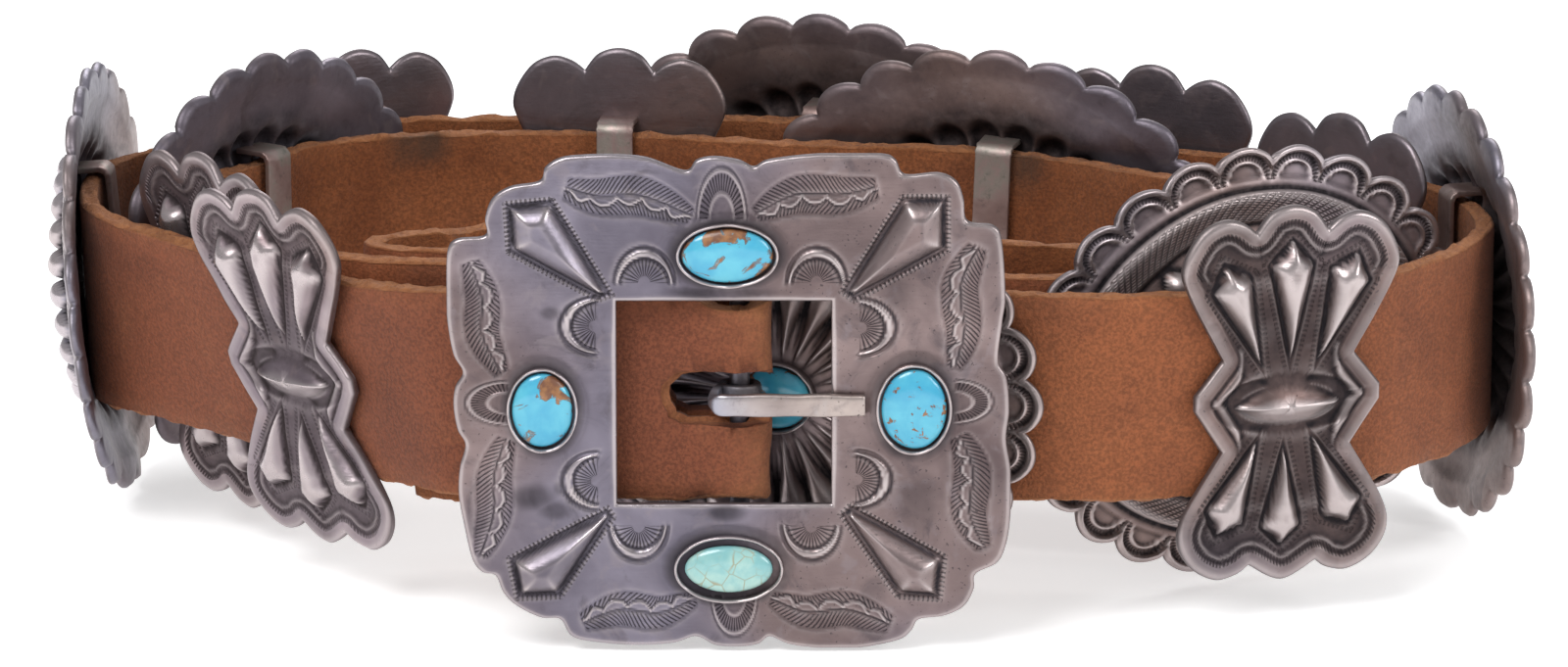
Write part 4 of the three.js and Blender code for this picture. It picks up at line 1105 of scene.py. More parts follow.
def dress(
    thing: bpy.types.Object, material: bpy.types.Material, slot: Slot, body: Body, *nodes: str
) -> bpy.types.Object:
    """Gives a piece its material and its body, and hides the nodes of the frame that it stands for.

    Args:
        thing: the piece.
        material: its material.
        slot: the record's finish for it; not used.
        body: the body that it moves with.
        *nodes: the nodes of the frame that it replaces.

    Returns:
        The piece.
    """
    thing.data.materials.clear()
    thing.data.materials.append(material)
    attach(thing, body.value)
    if nodes:
        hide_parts(*nodes)
    LOG.info("%s: %d faces", thing.name, len(thing.data.polygons))
    return thing


def copied(thing: bpy.types.Object, name: str) -> bpy.types.Object:
    """A copy with its own mesh."""
    mesh = thing.data.copy()
    mesh.name = name
    return linked(name, mesh)


@dataclass
class Cabochon:
    """A polished stone: a low dome, and the strip of silver that stands round it."""

    width: float
    height: float
    base: float
    rise: float = 1.8
    bezel_width: float = 0.0
    bezel_height: float = 0.0
    bezel_base: float = 0.0
    bezel_top: float = 0.0
    wall: float = 0.5

    def stone(self, name: str, place: Matrix, seed: int = 0) -> bpy.types.Object:
        """Shapes the stone from a sphere, flat below and a little uneven.

        Args:
            name: the piece's name.
            place: where the stone's own frame lies.
            seed: which stone's unevenness it has.

        Returns:
            The stone.
        """
        deselect()
        bpy.ops.mesh.primitive_uv_sphere_add(segments=48, ring_count=26, radius=1)
        made = bpy.context.object
        made.name = name
        count = len(made.data.vertices)
        co = np.zeros(count * 3)
        made.data.vertices.foreach_get("co", co)
        co = co.reshape(-1, 3)
        angle = np.arctan2(co[:, 1], co[:, 0])
        uneven = 1 + 0.012 * np.sin(2 * angle + seed) + 0.01 * np.sin(3 * angle + 2 * seed)
        flat = np.hypot(co[:, 0], co[:, 1])
        squared = flat**0.82
        grow = np.where(flat > 1e-6, squared / np.maximum(flat, 1e-6), 1) * np.minimum(uneven, 1)
        up = np.where(co[:, 2] > 0, co[:, 2] ** 0.95, co[:, 2] * 0.05)
        out = np.stack([co[:, 0] * grow * self.width / 2, co[:, 1] * grow * self.height / 2, up], axis=1)
        out[:, 2] = self.base + np.clip(0.25 * self.rise + up * 0.75 * self.rise, 0, None)
        out[co[:, 2] < -0.02, 2] = self.base
        made.data.vertices.foreach_set("co", out.reshape(-1))
        made.data.shade_smooth()
        return settle(made, place)

    def bezel(self, name: str, place: Matrix, seed: int = 0) -> bpy.types.Object:
        """Shapes the strip round the stone, its lip burnished in and a little wavy.

        Args:
            name: the piece's name.
            place: where the stone's own frame lies.
            seed: which bezel's waves it has.

        Returns:
            The bezel.
        """
        angle = np.linspace(0, 2 * math.pi, 97)[:-1]
        wave = 0.09 * np.sin(7 * angle + seed) + 0.07 * np.sin(11 * angle + 2.2 * seed)
        rows = []
        section = (
            (0.5, 0.0), (0.08, 0.12), (0.0, 0.5), (0.05, 0.92), (0.25, 1.0), (0.6, 0.97), (1.0, 0.8),
            (1.0, 0.0),
        )
        for inward, high in section:
            foot = (0.3 if high < 0.06 and inward < 0.9 else 0) - self.wall * inward
            wide = self.bezel_width / 2 + foot
            tall = self.bezel_height / 2 + foot
            level = self.bezel_base + high * (self.bezel_top - self.bezel_base) + wave * (high > 0.7)
            rows.append(
                np.stack(
                    [wide * np.cos(angle), tall * np.sin(angle), np.broadcast_to(level, angle.shape)],
                    axis=1,
                )
            )
        points = np.stack(rows)[::-1]
        proud = np.repeat(np.array([0.0, 0.1, 0.2, 0.9, 1.0, 0.9, 0.3, 0.0])[::-1, None], 96, axis=1)
        values = {"sunk": np.clip(0.7 - proud, 0, 1) * 0.6, "proud": proud, "stain": np.zeros_like(proud)}
        return GridMesh(
            name, points, looped=True, stamp=np.full((8, 97, 2), -1.0), values=values
        ).build(place)


@dataclass
class StrapLoop:
    """The strip of copper behind a plate that the strap runs through."""

    width: float = 6.0
    sheet: float = 1.0
    play_high: float = 1.3
    play_deep: float = 0.9

    def build(
        self, name: str, place: Matrix, high: float, deep: float, plate_back: float
    ) -> bpy.types.Object:
        """Bends the strip round the strap.

        Args:
            name: the piece's name.
            place: where the plate's frame lies.
            high: the strap's middle over the plate's.
            deep: the strap's middle over the plate's back.
            plate_back: the height at which the strip's feet end.

        Returns:
            The strip.
        """
        reach = STRAP_WIDTH / 2 + self.play_high + self.sheet / 2
        back = deep - STRAP_THICKNESS / 2 - self.play_deep - self.sheet / 2
        bend = 1.4
        line: list[tuple[float, float]] = [(-reach, plate_back), (-reach, back + bend)]
        for i in range(1, 5):
            angle = math.pi + i * math.pi / 8
            line.append((-reach + bend + bend * math.cos(angle), back + bend + bend * math.sin(angle)))
        line += [(-x, y) for x, y in reversed(line)]
        half = self.width / 2
        vertices = [
            (side * half * (1 + 0.03 * math.sin(3 * i)), high + y, z)
            for i, (y, z) in enumerate(line)
            for side in (-1, 1)
        ]
        faces = [(2 * i, 2 * i + 1, 2 * i + 3, 2 * i + 2) for i in range(len(line) - 1)]
        mesh = bpy.data.meshes.new(name)
        mesh.from_pydata(vertices, [], faces)
        made = linked(name, mesh)
        apply_modifier(made, "SOLIDIFY", thickness=self.sheet * 0.92, offset=0)
        apply_modifier(made, "BEVEL", width=0.22, segments=3, limit_method="ANGLE")
        made.data.shade_smooth()
        make_active(made)
        bpy.ops.object.shade_smooth_by_angle(angle=math.radians(40))
        return settle(made, place)


@dataclass
class Concho:
    """A domed oval plate: lobed rim, rope band, fluted middle and a stone."""

    width: float = 81.0
    height: float = 67.5
    sheet: float = 1.1
    rise: float = 7.0
    lobes: int = 24
    columns: int = 336
    stone_width: float = 11.0
    stone_height: float = 9.5

    SECTION = (
        (0.0, 5.5), (0.19, 5.5), (0.24, 5.35), (0.35, 5.0), (0.47, 4.95), (0.55, 4.8), (0.6, 4.2), (0.64, 3.4),
        (0.67, 3.1), (0.72, 3.0), (0.785, 2.7), (0.805, 2.1), (0.86, 1.35), (0.92, 1.1), (1.0, 0.95),
    )

    def shares(self) -> np.ndarray:
        """The grid's rows, from the middle to the rim."""
        return np.r_[
            0.03, 0.12, np.linspace(0.17, 0.5, 13), np.linspace(0.515, 0.64, 12), np.linspace(0.655, 0.815, 13),
            np.linspace(0.828, 0.995, 24), 1.0,
        ]

    def rim(self, angle: np.ndarray) -> np.ndarray:
        """How far the lobed rim reaches, as a share of the plate's half sizes."""
        return 0.938 + 0.062 * np.abs(np.cos(angle * self.lobes / 2)) ** 0.72

    def face(self, share: np.ndarray, angle: np.ndarray, fine: bool) -> Relief:
        """The stamped face.

        Args:
            share: the shares of the radius.
            angle: the angles round the middle.
            fine: whether the punched work shows, or only what shows through from behind.

        Returns:
            The relief.
        """
        reach = 0.82 + (share - 0.82) / 0.18 * (self.rim(angle) - 0.82)
        away = np.where(share > 0.82, reach, share)
        relief = Relief(away * self.width / 2 * np.cos(angle), away * self.height / 2 * np.sin(angle))
        relief.add(profile(away, self.SECTION))
        pitch = 2 * math.pi / self.lobes
        across = ((angle / pitch + 0.5) % 1 - 0.5) * 2
        flute = ((angle / pitch) % 1 - 0.5) * 2
        rib = np.clip(0.36 + 0.6 * (away - 0.22) / 0.3, 0.3, 0.95)
        rib = rib * np.sqrt(np.clip((0.632 - away) / 0.07, 0, 1))
        crest = np.clip(1 - np.abs(flute) / np.maximum(rib, 1e-3), 0, 1)
        peak = profile(
            away,
            (
                (0.0, 0.0), (0.19, 0.0), (0.22, 0.55), (0.45, 1.55), (0.55, 2.1), (0.585, 2.0), (0.61, 1.6),
                (0.631, 0.6), (0.633, 0.0),
            ),
        )
        rounded = smooth(0.3, 0.5, away)
        shape = (1 - rounded) * (1 - (1 - crest) ** 1.5) + rounded * np.sqrt(crest * (2 - crest))
        relief.add(peak * shape)
        relief.add(
            -0.25 * smooth(0.7, 1.0, np.abs(flute)) * smooth(0.22, 0.3, away) * smooth(0.6, 0.55, away)
        )
        up = (away - 0.845) / 0.155
        lobe = np.sqrt(0.63 * across**2 + up**2)
        front = smooth(-0.05, 0.12, up) * (1.0 if fine else 0.12)
        relief.add(0.5 * smooth(0.76, 0.86, lobe) * front)
        relief.add(-0.3 * band(lobe, 0.68, 0.13) * front)
        relief.add(0.2 * band(lobe, 0.55, 0.07) * front)
        relief.add(-0.32 * smooth(0.56, 0.44, lobe) * front)
        relief.add(-0.22 * smooth(0.84, 1.0, np.abs(across)) * front)
        if fine:
            spread = np.arctan2(up, across * 0.8)
            reach = np.minimum(lobe - 0.6, 0.8 - lobe) * 5.2
            relief.cut_strokes(np.minimum(reach, up * 5.2 + 0.1), spread / math.pi * 21)
            low, high = ROPE
            relief.add(-0.28 * (band(away, low - 0.012, 0.014) + band(away, high + 0.012, 0.014)))
            relief.add(
                0.22 * smooth(low - 0.004, low + 0.01, away) * smooth(high + 0.004, high - 0.01, away)
            )
        relief.wavy(0.3, 18, 3)
        return relief

    def build(self, name: str) -> GridMesh:
        """Makes the plate's grid, front and back."""
        turn = np.linspace(0, 2 * math.pi, self.columns + 1)[:-1]
        share, angle = np.meshgrid(self.shares(), turn, indexing="ij")
        front = self.face(share, angle, True)
        front_share = share
        front.height[-1] -= 0.3
        front.height[-2] -= 0.05
        sunk, proud = cavities(front.height, 5, 0.22)
        back_share = np.r_[
            1.0, 0.985, np.linspace(0.95, 0.84, 6), 0.8, 0.74, 0.68, np.linspace(0.64, 0.5, 7),
            np.linspace(0.45, 0.15, 6), 0.03,
        ]
        share, angle = np.meshgrid(back_share, turn, indexing="ij")
        back = self.face(share, angle, False)
        softer = smooth(0.82, 0.74, share)
        shown = softer * blurred(back.height, 1) + (1 - softer) * back.height - self.sheet
        shown[0] = front.height[-1] - 0.45
        shown[1] = np.minimum(shown[1], front.height[-1] - 0.62)
        # The back's darkening is oxide plus painted shade, deepest in the hollow middle, and its bumps get
        # painted highlights.
        hollow, ahead = cavities(-shown, 2, 0.6)
        inner = smooth(0.76, 0.66, share)
        outline = np.stack(
            [np.vstack([front.x, back.x]), np.vstack([front.y, back.y]), np.vstack([front.height, shown])],
            axis=2,
        )
        zero = np.zeros_like(shown)
        blank = np.full((len(shown), self.columns + 1), -1.0)
        phase = np.vstack([wrapped(front.phase), blank])
        depth = np.vstack([wrapped(front.strokes), blank])
        rope_phase = np.tile(np.linspace(0, 126, self.columns + 1), (len(outline), 1))
        rope_depth = np.vstack([np.repeat(self.shares()[:, None], self.columns + 1, axis=1), blank])
        rim_shine = np.zeros_like(front.height)
        rim_shine[-6:] = 0.35
        valley = 0.3 * band(front_share, 0.822, 0.03) + 0.25 * band(front_share, 0.645, 0.03)
        values = {
            # Back rows: sunk is oxide plus painted shade, and proud is a painted highlight on the bumps.
            "sunk": np.vstack(
                [np.clip(sunk + valley, 0, 1), np.clip(0.3 + (0.4 + 0.5 * hollow) * inner, 0, 1)]
            ),
            "proud": np.vstack([np.clip(proud * 0.9 + rim_shine, 0, 1), 0.4 * ahead * inner]),
            "stain": np.vstack([front.stain, zero]),
        }
        beads = np.dstack([rope_phase, rope_depth])
        return GridMesh(name, outline, stamp=np.dstack([phase, depth]), beads=beads, values=values)


@dataclass
class Butterfly:
    """A butterfly plate: lobed ends, a pinched waist, six pressed kites and an almond between them."""

    width: float = 35.0
    height: float = 59.0
    sheet: float = 1.3
    columns: int = 352

    KITES = (
        ((0.3, 4.6), (0.2, 24.2), 3.6),
        ((4.6, 4.4), (11.0, 21.6), 3.4),
        ((-4.2, 4.2), (-10.8, 21.0), 3.4),
        ((-0.3, -8.0), (-0.4, -24.2), 3.3),
        ((4.0, -6.4), (10.7, -21.6), 3.4),
        ((-4.5, -6.6), (-10.9, -21.9), 3.4),
    )
    CUSPS = (2, 8, 9, 10, 11, 17)
    MIDDLE = -1.6

    def outline(self) -> np.ndarray:
        """The plate's edge, clockwise table made an even anticlockwise line."""
        right = np.array(BUTTERFLY_EDGE) * (self.width / 2, self.height / 2)
        cusps = [right[i] for i in self.CUSPS]
        left = right[1:-1][::-1] * (-1, 1)
        cusps += [point * (-1, 1) for point in cusps]
        ring = np.vstack([right, left])[::-1]
        ring = np.roll(ring, -next(i for i, p in enumerate(ring) if np.allclose(p, cusps[0])), axis=0)
        ring = np.vstack([ring, ring[:1]])
        ends = [i for i, p in enumerate(ring) if min(np.hypot(*(p - cusp)) for cusp in cusps) < 1e-6]
        pieces = [ring[a : b + 1] for a, b in zip(ends, ends[1:])]
        lengths = np.array([np.linalg.norm(np.diff(piece, axis=0), axis=1).sum() for piece in pieces])
        counts = np.round(lengths / lengths.sum() * self.columns).astype(int)
        counts[np.argmax(counts)] += self.columns - counts.sum()
        line = np.vstack([spline(piece, count + 1, False)[:-1] for piece, count in zip(pieces, counts)])
        low, high = line.min(0), line.max(0)
        return line * np.minimum(1, (self.width, self.height) / (high - low))

    def build(self, name: str) -> GridMesh:
        """Makes the plate's grid, front and back."""
        edge = self.outline()
        shares = np.r_[0.02, np.linspace(0.06, 0.74, 29), np.linspace(0.76, 0.985, 19), 1.0]
        x = shares[:, None] * edge[:, 0]
        y = self.MIDDLE + shares[:, None] * (edge[:, 1] - self.MIDDLE)
        relief = Relief(x, y)
        deep = np.full_like(x, 1e9)
        for k in range(self.columns):
            a, b = edge[k], edge[(k + 1) % self.columns]
            length = np.linalg.norm(b - a)
            u = (b - a) / length
            t = np.clip((x - a[0]) * u[0] + (y - a[1]) * u[1], 0, length)
            deep = np.minimum(deep, np.hypot(x - a[0] - t * u[0], y - a[1] - t * u[1]))
        relief.add(self.sheet + 0.12 * smooth(0.0, 0.5, deep) - 0.1 * smooth(1.0, 2.2, deep))
        lobes = smooth(17.5, 19.5, np.abs(y))
        relief.add(-0.3 * smooth(2.1, 2.5, deep) * (0.45 + 0.55 * lobes))
        relief.add((0.1 * band(deep, 3.4, 0.35) - 0.25 * smooth(3.4, 4.2, deep)) * lobes)
        relief.add(-0.2 * smooth(2.3, 3.6, deep) * (1 - lobes))
        border = np.full_like(x, 1e9)
        border_phase = np.zeros_like(x)
        for (ix, iy), (ox, oy), wide in self.KITES:
            ax, ay = ox - ix, oy - iy
            long = math.hypot(ax, ay)
            nx, ny = -ay / long * wide, ax / long * wide
            sx, sy = ix + ax * 0.8, iy + ay * 0.8
            corners = [(ix, iy), (sx - nx, sy - ny), (ox, oy), (sx + nx, sy + ny)]
            relief.kite(corners, 2.3, 2.3, 0.1, 0.0)
            inside, along = convex(corners, x, y)
            nearer = -inside < border
            border = np.where(nearer, -inside, border)
            border_phase = np.where(nearer, along / 0.78, border_phase)
        away = np.hypot(x / 8.0, (y - self.MIDDLE) / 3.2)
        half = 3.3 * np.clip(1 - (x / 8.4) ** 2, 0.001, 1)
        rise = 2.2 * np.sqrt(np.clip(1 - (x / 8.4) ** 2, 0, 1))
        relief.add(rise * np.clip(1 - np.abs(y - self.MIDDLE) / half, 0, 1))
        relief.add(-0.45 * band(away, 1.25, 0.25))
        border = np.where(away < 1.6, 9.0, border)
        waist = smooth(8.5, 7.2, np.abs(y + 0.6)) * smooth(7.0, 8.2, np.abs(x))
        relief.add(0.8 * band(deep, 3.6, 0.9) * waist)
        relief.wavy(0.18, 11, 5)
        relief.height[-1] -= 0.4
        relief.height[-2] -= 0.08
        sunk, proud = cavities(relief.height, 4, 0.3)
        back_share = np.r_[1.0, 0.97, 0.9, 0.75, 0.5, 0.25, 0.04]
        bx = back_share[:, None] * edge[:, 0]
        by = self.MIDDLE + back_share[:, None] * (edge[:, 1] - self.MIDDLE)
        shown = np.zeros_like(bx)
        shown[0] = 0.2
        outline = np.stack(
            [np.vstack([x, bx]), np.vstack([y, by]), np.vstack([relief.height, shown])], axis=2
        )
        blank = np.full((len(bx), self.columns + 1), -1.0)
        phase = np.tile(np.linspace(0, 300, self.columns + 1), (len(outline), 1))
        depth = np.vstack([wrapped(deep + 10 * (lobes < 0.5)), blank])
        teeth = np.dstack([np.vstack([wrapped(border_phase), blank]), np.vstack([wrapped(border), blank])])
        top = relief.height - self.sheet
        # Brighter on rubbed edges and on the tops of the kites and almond, which is wear and painted highlight
        # together, plus a painted highlight on the almond's lower half.
        wear_and_painted_highlight = 0.3 * smooth(2.3, 0.6, deep) + 0.65 * smooth(0.8, 1.7, top)
        lens = np.hypot(x / 8.6, (y - self.MIDDLE) / 3.4)
        wear_and_painted_highlight = wear_and_painted_highlight + 0.55 * smooth(1.0, 0.75, lens) * smooth(0.7, -0.5, y - self.MIDDLE)
        floor = 0.55 * smooth(2.1, 2.7, deep) * smooth(0.5, -0.1, top)
        settled = smooth(0.12, 0.3, shares)[:, None]
        sunk, proud = sunk * settled, proud * settled
        values = {
            "sunk": np.vstack([np.clip(sunk + floor, 0, 1), np.zeros_like(bx)]),
            "proud": np.vstack([np.clip(proud + wear_and_painted_highlight, 0, 1), np.full_like(bx, 0.2)]),
            "stain": np.zeros((len(x) + len(bx), self.columns)),
        }
        return GridMesh(name, outline, stamp=np.dstack([phase, depth]), beads=teeth, values=values)


@dataclass
class BuckleFrame:
    """The stamped buckle round its window, with its bar behind."""

    width: float = BUCKLE_WIDTH
    height: float = BUCKLE_HEIGHT
    sheet: float = BUCKLE_SHEET
    window_width: float = 32.0
    window_height: float = 31.2
    window_shift: float = -0.8
    columns: int = 960
    rows: int = 74

    STONES = (
        (-0.006, 0.6, 0.182, 0.129, 0.0),
        (-0.663, -0.023, 0.127, 0.171, 0.0),
        (0.655, -0.019, 0.135, 0.183, 0.0),
        (-0.003, -0.669, 0.195, 0.137, 0.8),
    )
    KITES = (
        ((-18.2, 16.9), (-26.5, 30.6), (-32.6, 30.0), (-32.2, 23.4), (-19.4, 16.4)),
        ((18.6, 16.3), (31.9, 23.6), (31.9, 31.0), (26.0, 31.0), (17.4, 17.2)),
        ((-18.4, -16.9), (-32.4, -24.3), (-31.4, -29.7), (-25.6, -29.4), (-17.9, -17.6)),
        ((17.3, -17.3), (25.4, -29.4), (31.0, -29.8), (31.6, -24.0), (18.2, -16.4)),
    )
    FEATHERS = (
        (((-24.2, 32.9), (-19.5, 31.6), (-13.0, 31.6), (-5.6, 28.6)), 3.0, -1),
        (((21.9, 32.9), (16.6, 31.8), (10.0, 31.8), (4.0, 28.8)), 3.0, 1),
        (((-38.4, 21.6), (-36.7, 16.2), (-36.6, 10.4), (-33.8, 4.6)), 2.6, 1),
        (((-33.2, -5.6), (-35.0, -11.0), (-35.2, -17.2), (-37.2, -23.6)), 2.7, 1),
        (((36.8, 23.9), (34.3, 18.0), (34.8, 11.0), (33.4, 5.4)), 2.8, -1),
        (((34.2, -5.2), (36.2, -10.4), (35.8, -17.0), (38.0, -22.4)), 2.8, -1),
        (((-22.0, -33.9), (-16.4, -31.9), (-10.6, -32.4), (-5.2, -30.2)), 2.7, 1),
        (((24.0, -34.2), (17.6, -31.9), (11.6, -32.3), (6.2, -30.2)), 2.7, -1),
    )
    ARCHES = (
        ((-1.1, 28.2), 90.0, 3.3, 7.0),
        ((0.7, -29.8), 270.0, 3.1, 5.6),
        ((-33.0, 0.0), 180.0, 3.0, 5.6),
        ((33.6, 0.2), 0.0, 3.0, 5.0),
    )
    CRESCENTS = (
        ((-12.6, 18.4), 90.0), ((13.0, 18.4), 90.0), ((-19.8, 11.8), 180.0), ((19.4, 11.6), 0.0),
        ((-19.6, -12.0), 180.0), ((18.8, -11.8), 0.0), ((-13.6, -18.9), 270.0), ((12.2, -18.9), 270.0),
    )

    def edge(self) -> np.ndarray:
        """The buckle's edge as an even anticlockwise line."""
        ring = np.array(BUCKLE_EDGE)[::-1] * (self.width / 2, self.height / 2)
        line = spline(ring, self.columns, True)
        return np.clip(line, (-self.width / 2, -self.height / 2), (self.width / 2, self.height / 2))

    def window(self, edge: np.ndarray) -> np.ndarray:
        """The window's edge, where a line from its middle to each point of the outer edge meets it."""
        way = edge - (self.window_shift, 0)
        reach = np.minimum(
            self.window_width / 2 / np.maximum(np.abs(way[:, 0]), 1e-9),
            self.window_height / 2 / np.maximum(np.abs(way[:, 1]), 1e-9),
        )
        return way * reach[:, None] + (self.window_shift, 0)

    def build(self, place: Matrix, finish: SilverFinish) -> None:
        """Makes the stamped frame and all that is soldered to it.

        Args:
            place: where the buckle's own frame lies.
            finish: the buckle's silver.
        """
        edge = self.edge()
        inner = self.window(edge)
        share = np.r_[0.0, 0.008, 0.02, np.linspace(0.035, 0.97, self.rows - 6), 0.982, 0.993, 1.0]
        x = inner[:, 0] + share[:, None] * (edge[:, 0] - inner[:, 0])
        y = inner[:, 1] + share[:, None] * (edge[:, 1] - inner[:, 1])
        relief = Relief(x, y)
        self.stamp(relief)
        relief.height[0] -= 0.35
        relief.height[1] -= 0.1
        relief.height[-1] -= 0.4
        relief.height[-2] -= 0.1
        relief.height = np.where(relief.height > BUCKLE_RIDGE - 0.05, BUCKLE_RIDGE - 0.05, relief.height)
        sunk, proud = cavities(relief.height, 4, 0.2)
        proud[:3] += 0.45
        proud[-3:] += 0.25
        back = np.stack([edge, edge * 0.985, inner + 0.3 * (edge - inner), inner * 1.01, inner])
        shown = np.full(back.shape[:2], -self.sheet)
        shown[0] = -self.sheet + 0.35
        shown[-1] = -self.sheet + 0.2
        points = np.dstack(
            [np.vstack([x, back[..., 0]]), np.vstack([y, back[..., 1]]), np.vstack([relief.height, shown])]
        )
        blank = np.full((5, self.columns + 1), -1.0)
        stamp = np.dstack(
            [np.vstack([wrapped(relief.phase), blank]), np.vstack([wrapped(relief.strokes), blank])]
        )
        values = {
            "sunk": np.vstack([sunk, np.full_like(shown, 0.5)]),
            "proud": np.vstack([np.clip(proud, 0, 1), np.zeros_like(shown)]),
            "stain": np.vstack([relief.stain, np.zeros_like(shown)]),
        }
        made = GridMesh("buckle_plate", points, looped=True, stamp=stamp, values=values).build(place)
        silver = finish.material()
        dress(made, silver, Slot.SILVER, Body.BELT, "buckle_frame")
        self.bar(place)
        self.stones(place, silver)

    def stamp(self, relief: Relief) -> None:
        """Puts all the punched and pressed work on the face."""
        for corners in self.KITES:
            turned = list(corners) if area(corners) > 0 else list(corners)[::-1]
            relief.kite(turned, 2.05, 2.7, 0.25, 0.7)
        for points, wide, side in self.FEATHERS:
            relief.feather(list(points), wide, side)
        for middle, towards, wide, high in self.ARCHES:
            relief.arc(middle, towards, wide, high, False)
        for middle, towards in self.CRESCENTS:
            relief.arc(middle, towards, 4.3, 5.2, True)
        for sx, sy, sw, sh, _ in self.STONES:
            cx, cy = sx * self.width / 2, sy * self.height / 2
            away = np.hypot(
                (relief.x - cx) / (sw * self.width / 2), (relief.y - cy) / (sh * self.height / 2)
            )
            relief.add(0.35 * smooth(1.3, 1.02, away))
            relief.stain = np.maximum(relief.stain, 0.75 * smooth(1.3, 1.04, away))
        relief.spot(-1.5, 16.9, 8.5, 1.3, 0.75)
        relief.spot(-0.5, -16.9, 3.2, 1.6, 0.8)
        relief.spot(-29.5, -14.6, 3.6, 2.2, 0.8)
        relief.spot(-26.0, -16.6, 3.0, 1.6, 0.7)
        relief.spot(-25.2, -13.2, 1.3, 1.2, 0.7)
        relief.spot(-26.6, 13.8, 1.6, 1.2, 0.55)
        relief.spot(28.6, -15.4, 3.8, 5.0, 0.4)
        relief.spot(24.8, 16.8, 2.6, 4.0, 0.35)
        relief.wavy(0.16, 13, 11)

    def bar(self, place: Matrix) -> None:
        """Makes the upright bar and its two feet behind the window."""
        middle = CONCHO_STAND + CONCHO_HEIGHT / 2 + COIL_ROWS[0][3] * STRAP_WIDTH - BUCKLE_HEIGHT / 2
        reach = STRAP_WIDTH / 2 + 1.3
        deselect()
        bpy.ops.mesh.primitive_cylinder_add(
            vertices=32, radius=BAR_DIAMETER / 2, depth=2 * reach + 3, rotation=(math.pi / 2, 0, 0),
            location=(1.5, middle, -BAR_Y),
        )
        bar = bpy.context.object
        bar.name = "buckle_bar"
        settle(bar, Matrix.Identity(4))
        for side in (-1, 1):
            deselect()
            depth = BAR_Y + 1.5 - 0.9
            bpy.ops.mesh.primitive_cube_add(
                size=1, location=(1.5, middle + side * (reach + 1.5), -0.9 - depth / 2)
            )
            foot = bpy.context.object
            foot.scale = (3, 3, depth)
            settle(foot, Matrix.Identity(4))
            combine(bar, foot, "UNION", "EXACT")
        apply_modifier(bar, "BEVEL", width=0.3, segments=2, limit_method="ANGLE")
        make_active(bar)
        bpy.ops.object.shade_smooth_by_angle(angle=math.radians(40))
        settle(bar, place)
        dress(bar, BAR_SILVER.material(), Slot.SILVER, Body.BELT)

    def stones(self, place: Matrix, silver: bpy.types.Material) -> None:
        """Makes the four stones and their bezels.

        Args:
            place: where the buckle's own frame lies.
            silver: the bezels' material.
        """
        finishes = (
            StoneFinish("top stone", patches=0.5, specks=0.3),
            StoneFinish("left stone", patches=0.4, specks=0.26),
            StoneFinish("right stone", patches=0.33, specks=0.4),
            StoneFinish("bottom stone", (0.2, 0.44, 0.45), (0.38, 0.58, 0.52), 0.2, 0.2, 0.8),
        )
        for i, (row, finish) in enumerate(zip(self.STONES, finishes)):
            sx, sy, sw, sh, loose = row
            play = 2 * (0.5 + CLEARANCE + loose)
            gem = Cabochon(
                sw * self.width - play, sh * self.height - play, CLEARANCE,
                bezel_width=sw * self.width, bezel_height=sh * self.height, bezel_base=0.1, bezel_top=1.6,
            )
            spot = place @ Matrix.Translation((sx * self.width / 2, sy * self.height / 2, 0))
            stone = gem.stone(f"buckle_stone_{i + 1}_dome", spot, i)
            dress(
                stone, finish.material(), Slot.PALE if loose else Slot.TURQUOISE, Body.BELT,
                f"buckle_stone_{i + 1}",
            )
            bezel = gem.bezel(f"buckle_bezel_{i + 1}", spot, i)
            dress(bezel, silver, Slot.SILVER, Body.BELT)


def area(corners: tuple[tuple[float, float], ...]) -> float:
    """An outline's area, above 0 where it runs anticlockwise."""
    following = corners[1:] + corners[:1]
    return sum(a[0] * b[1] - b[0] * a[1] for a, b in zip(corners, following)) / 2


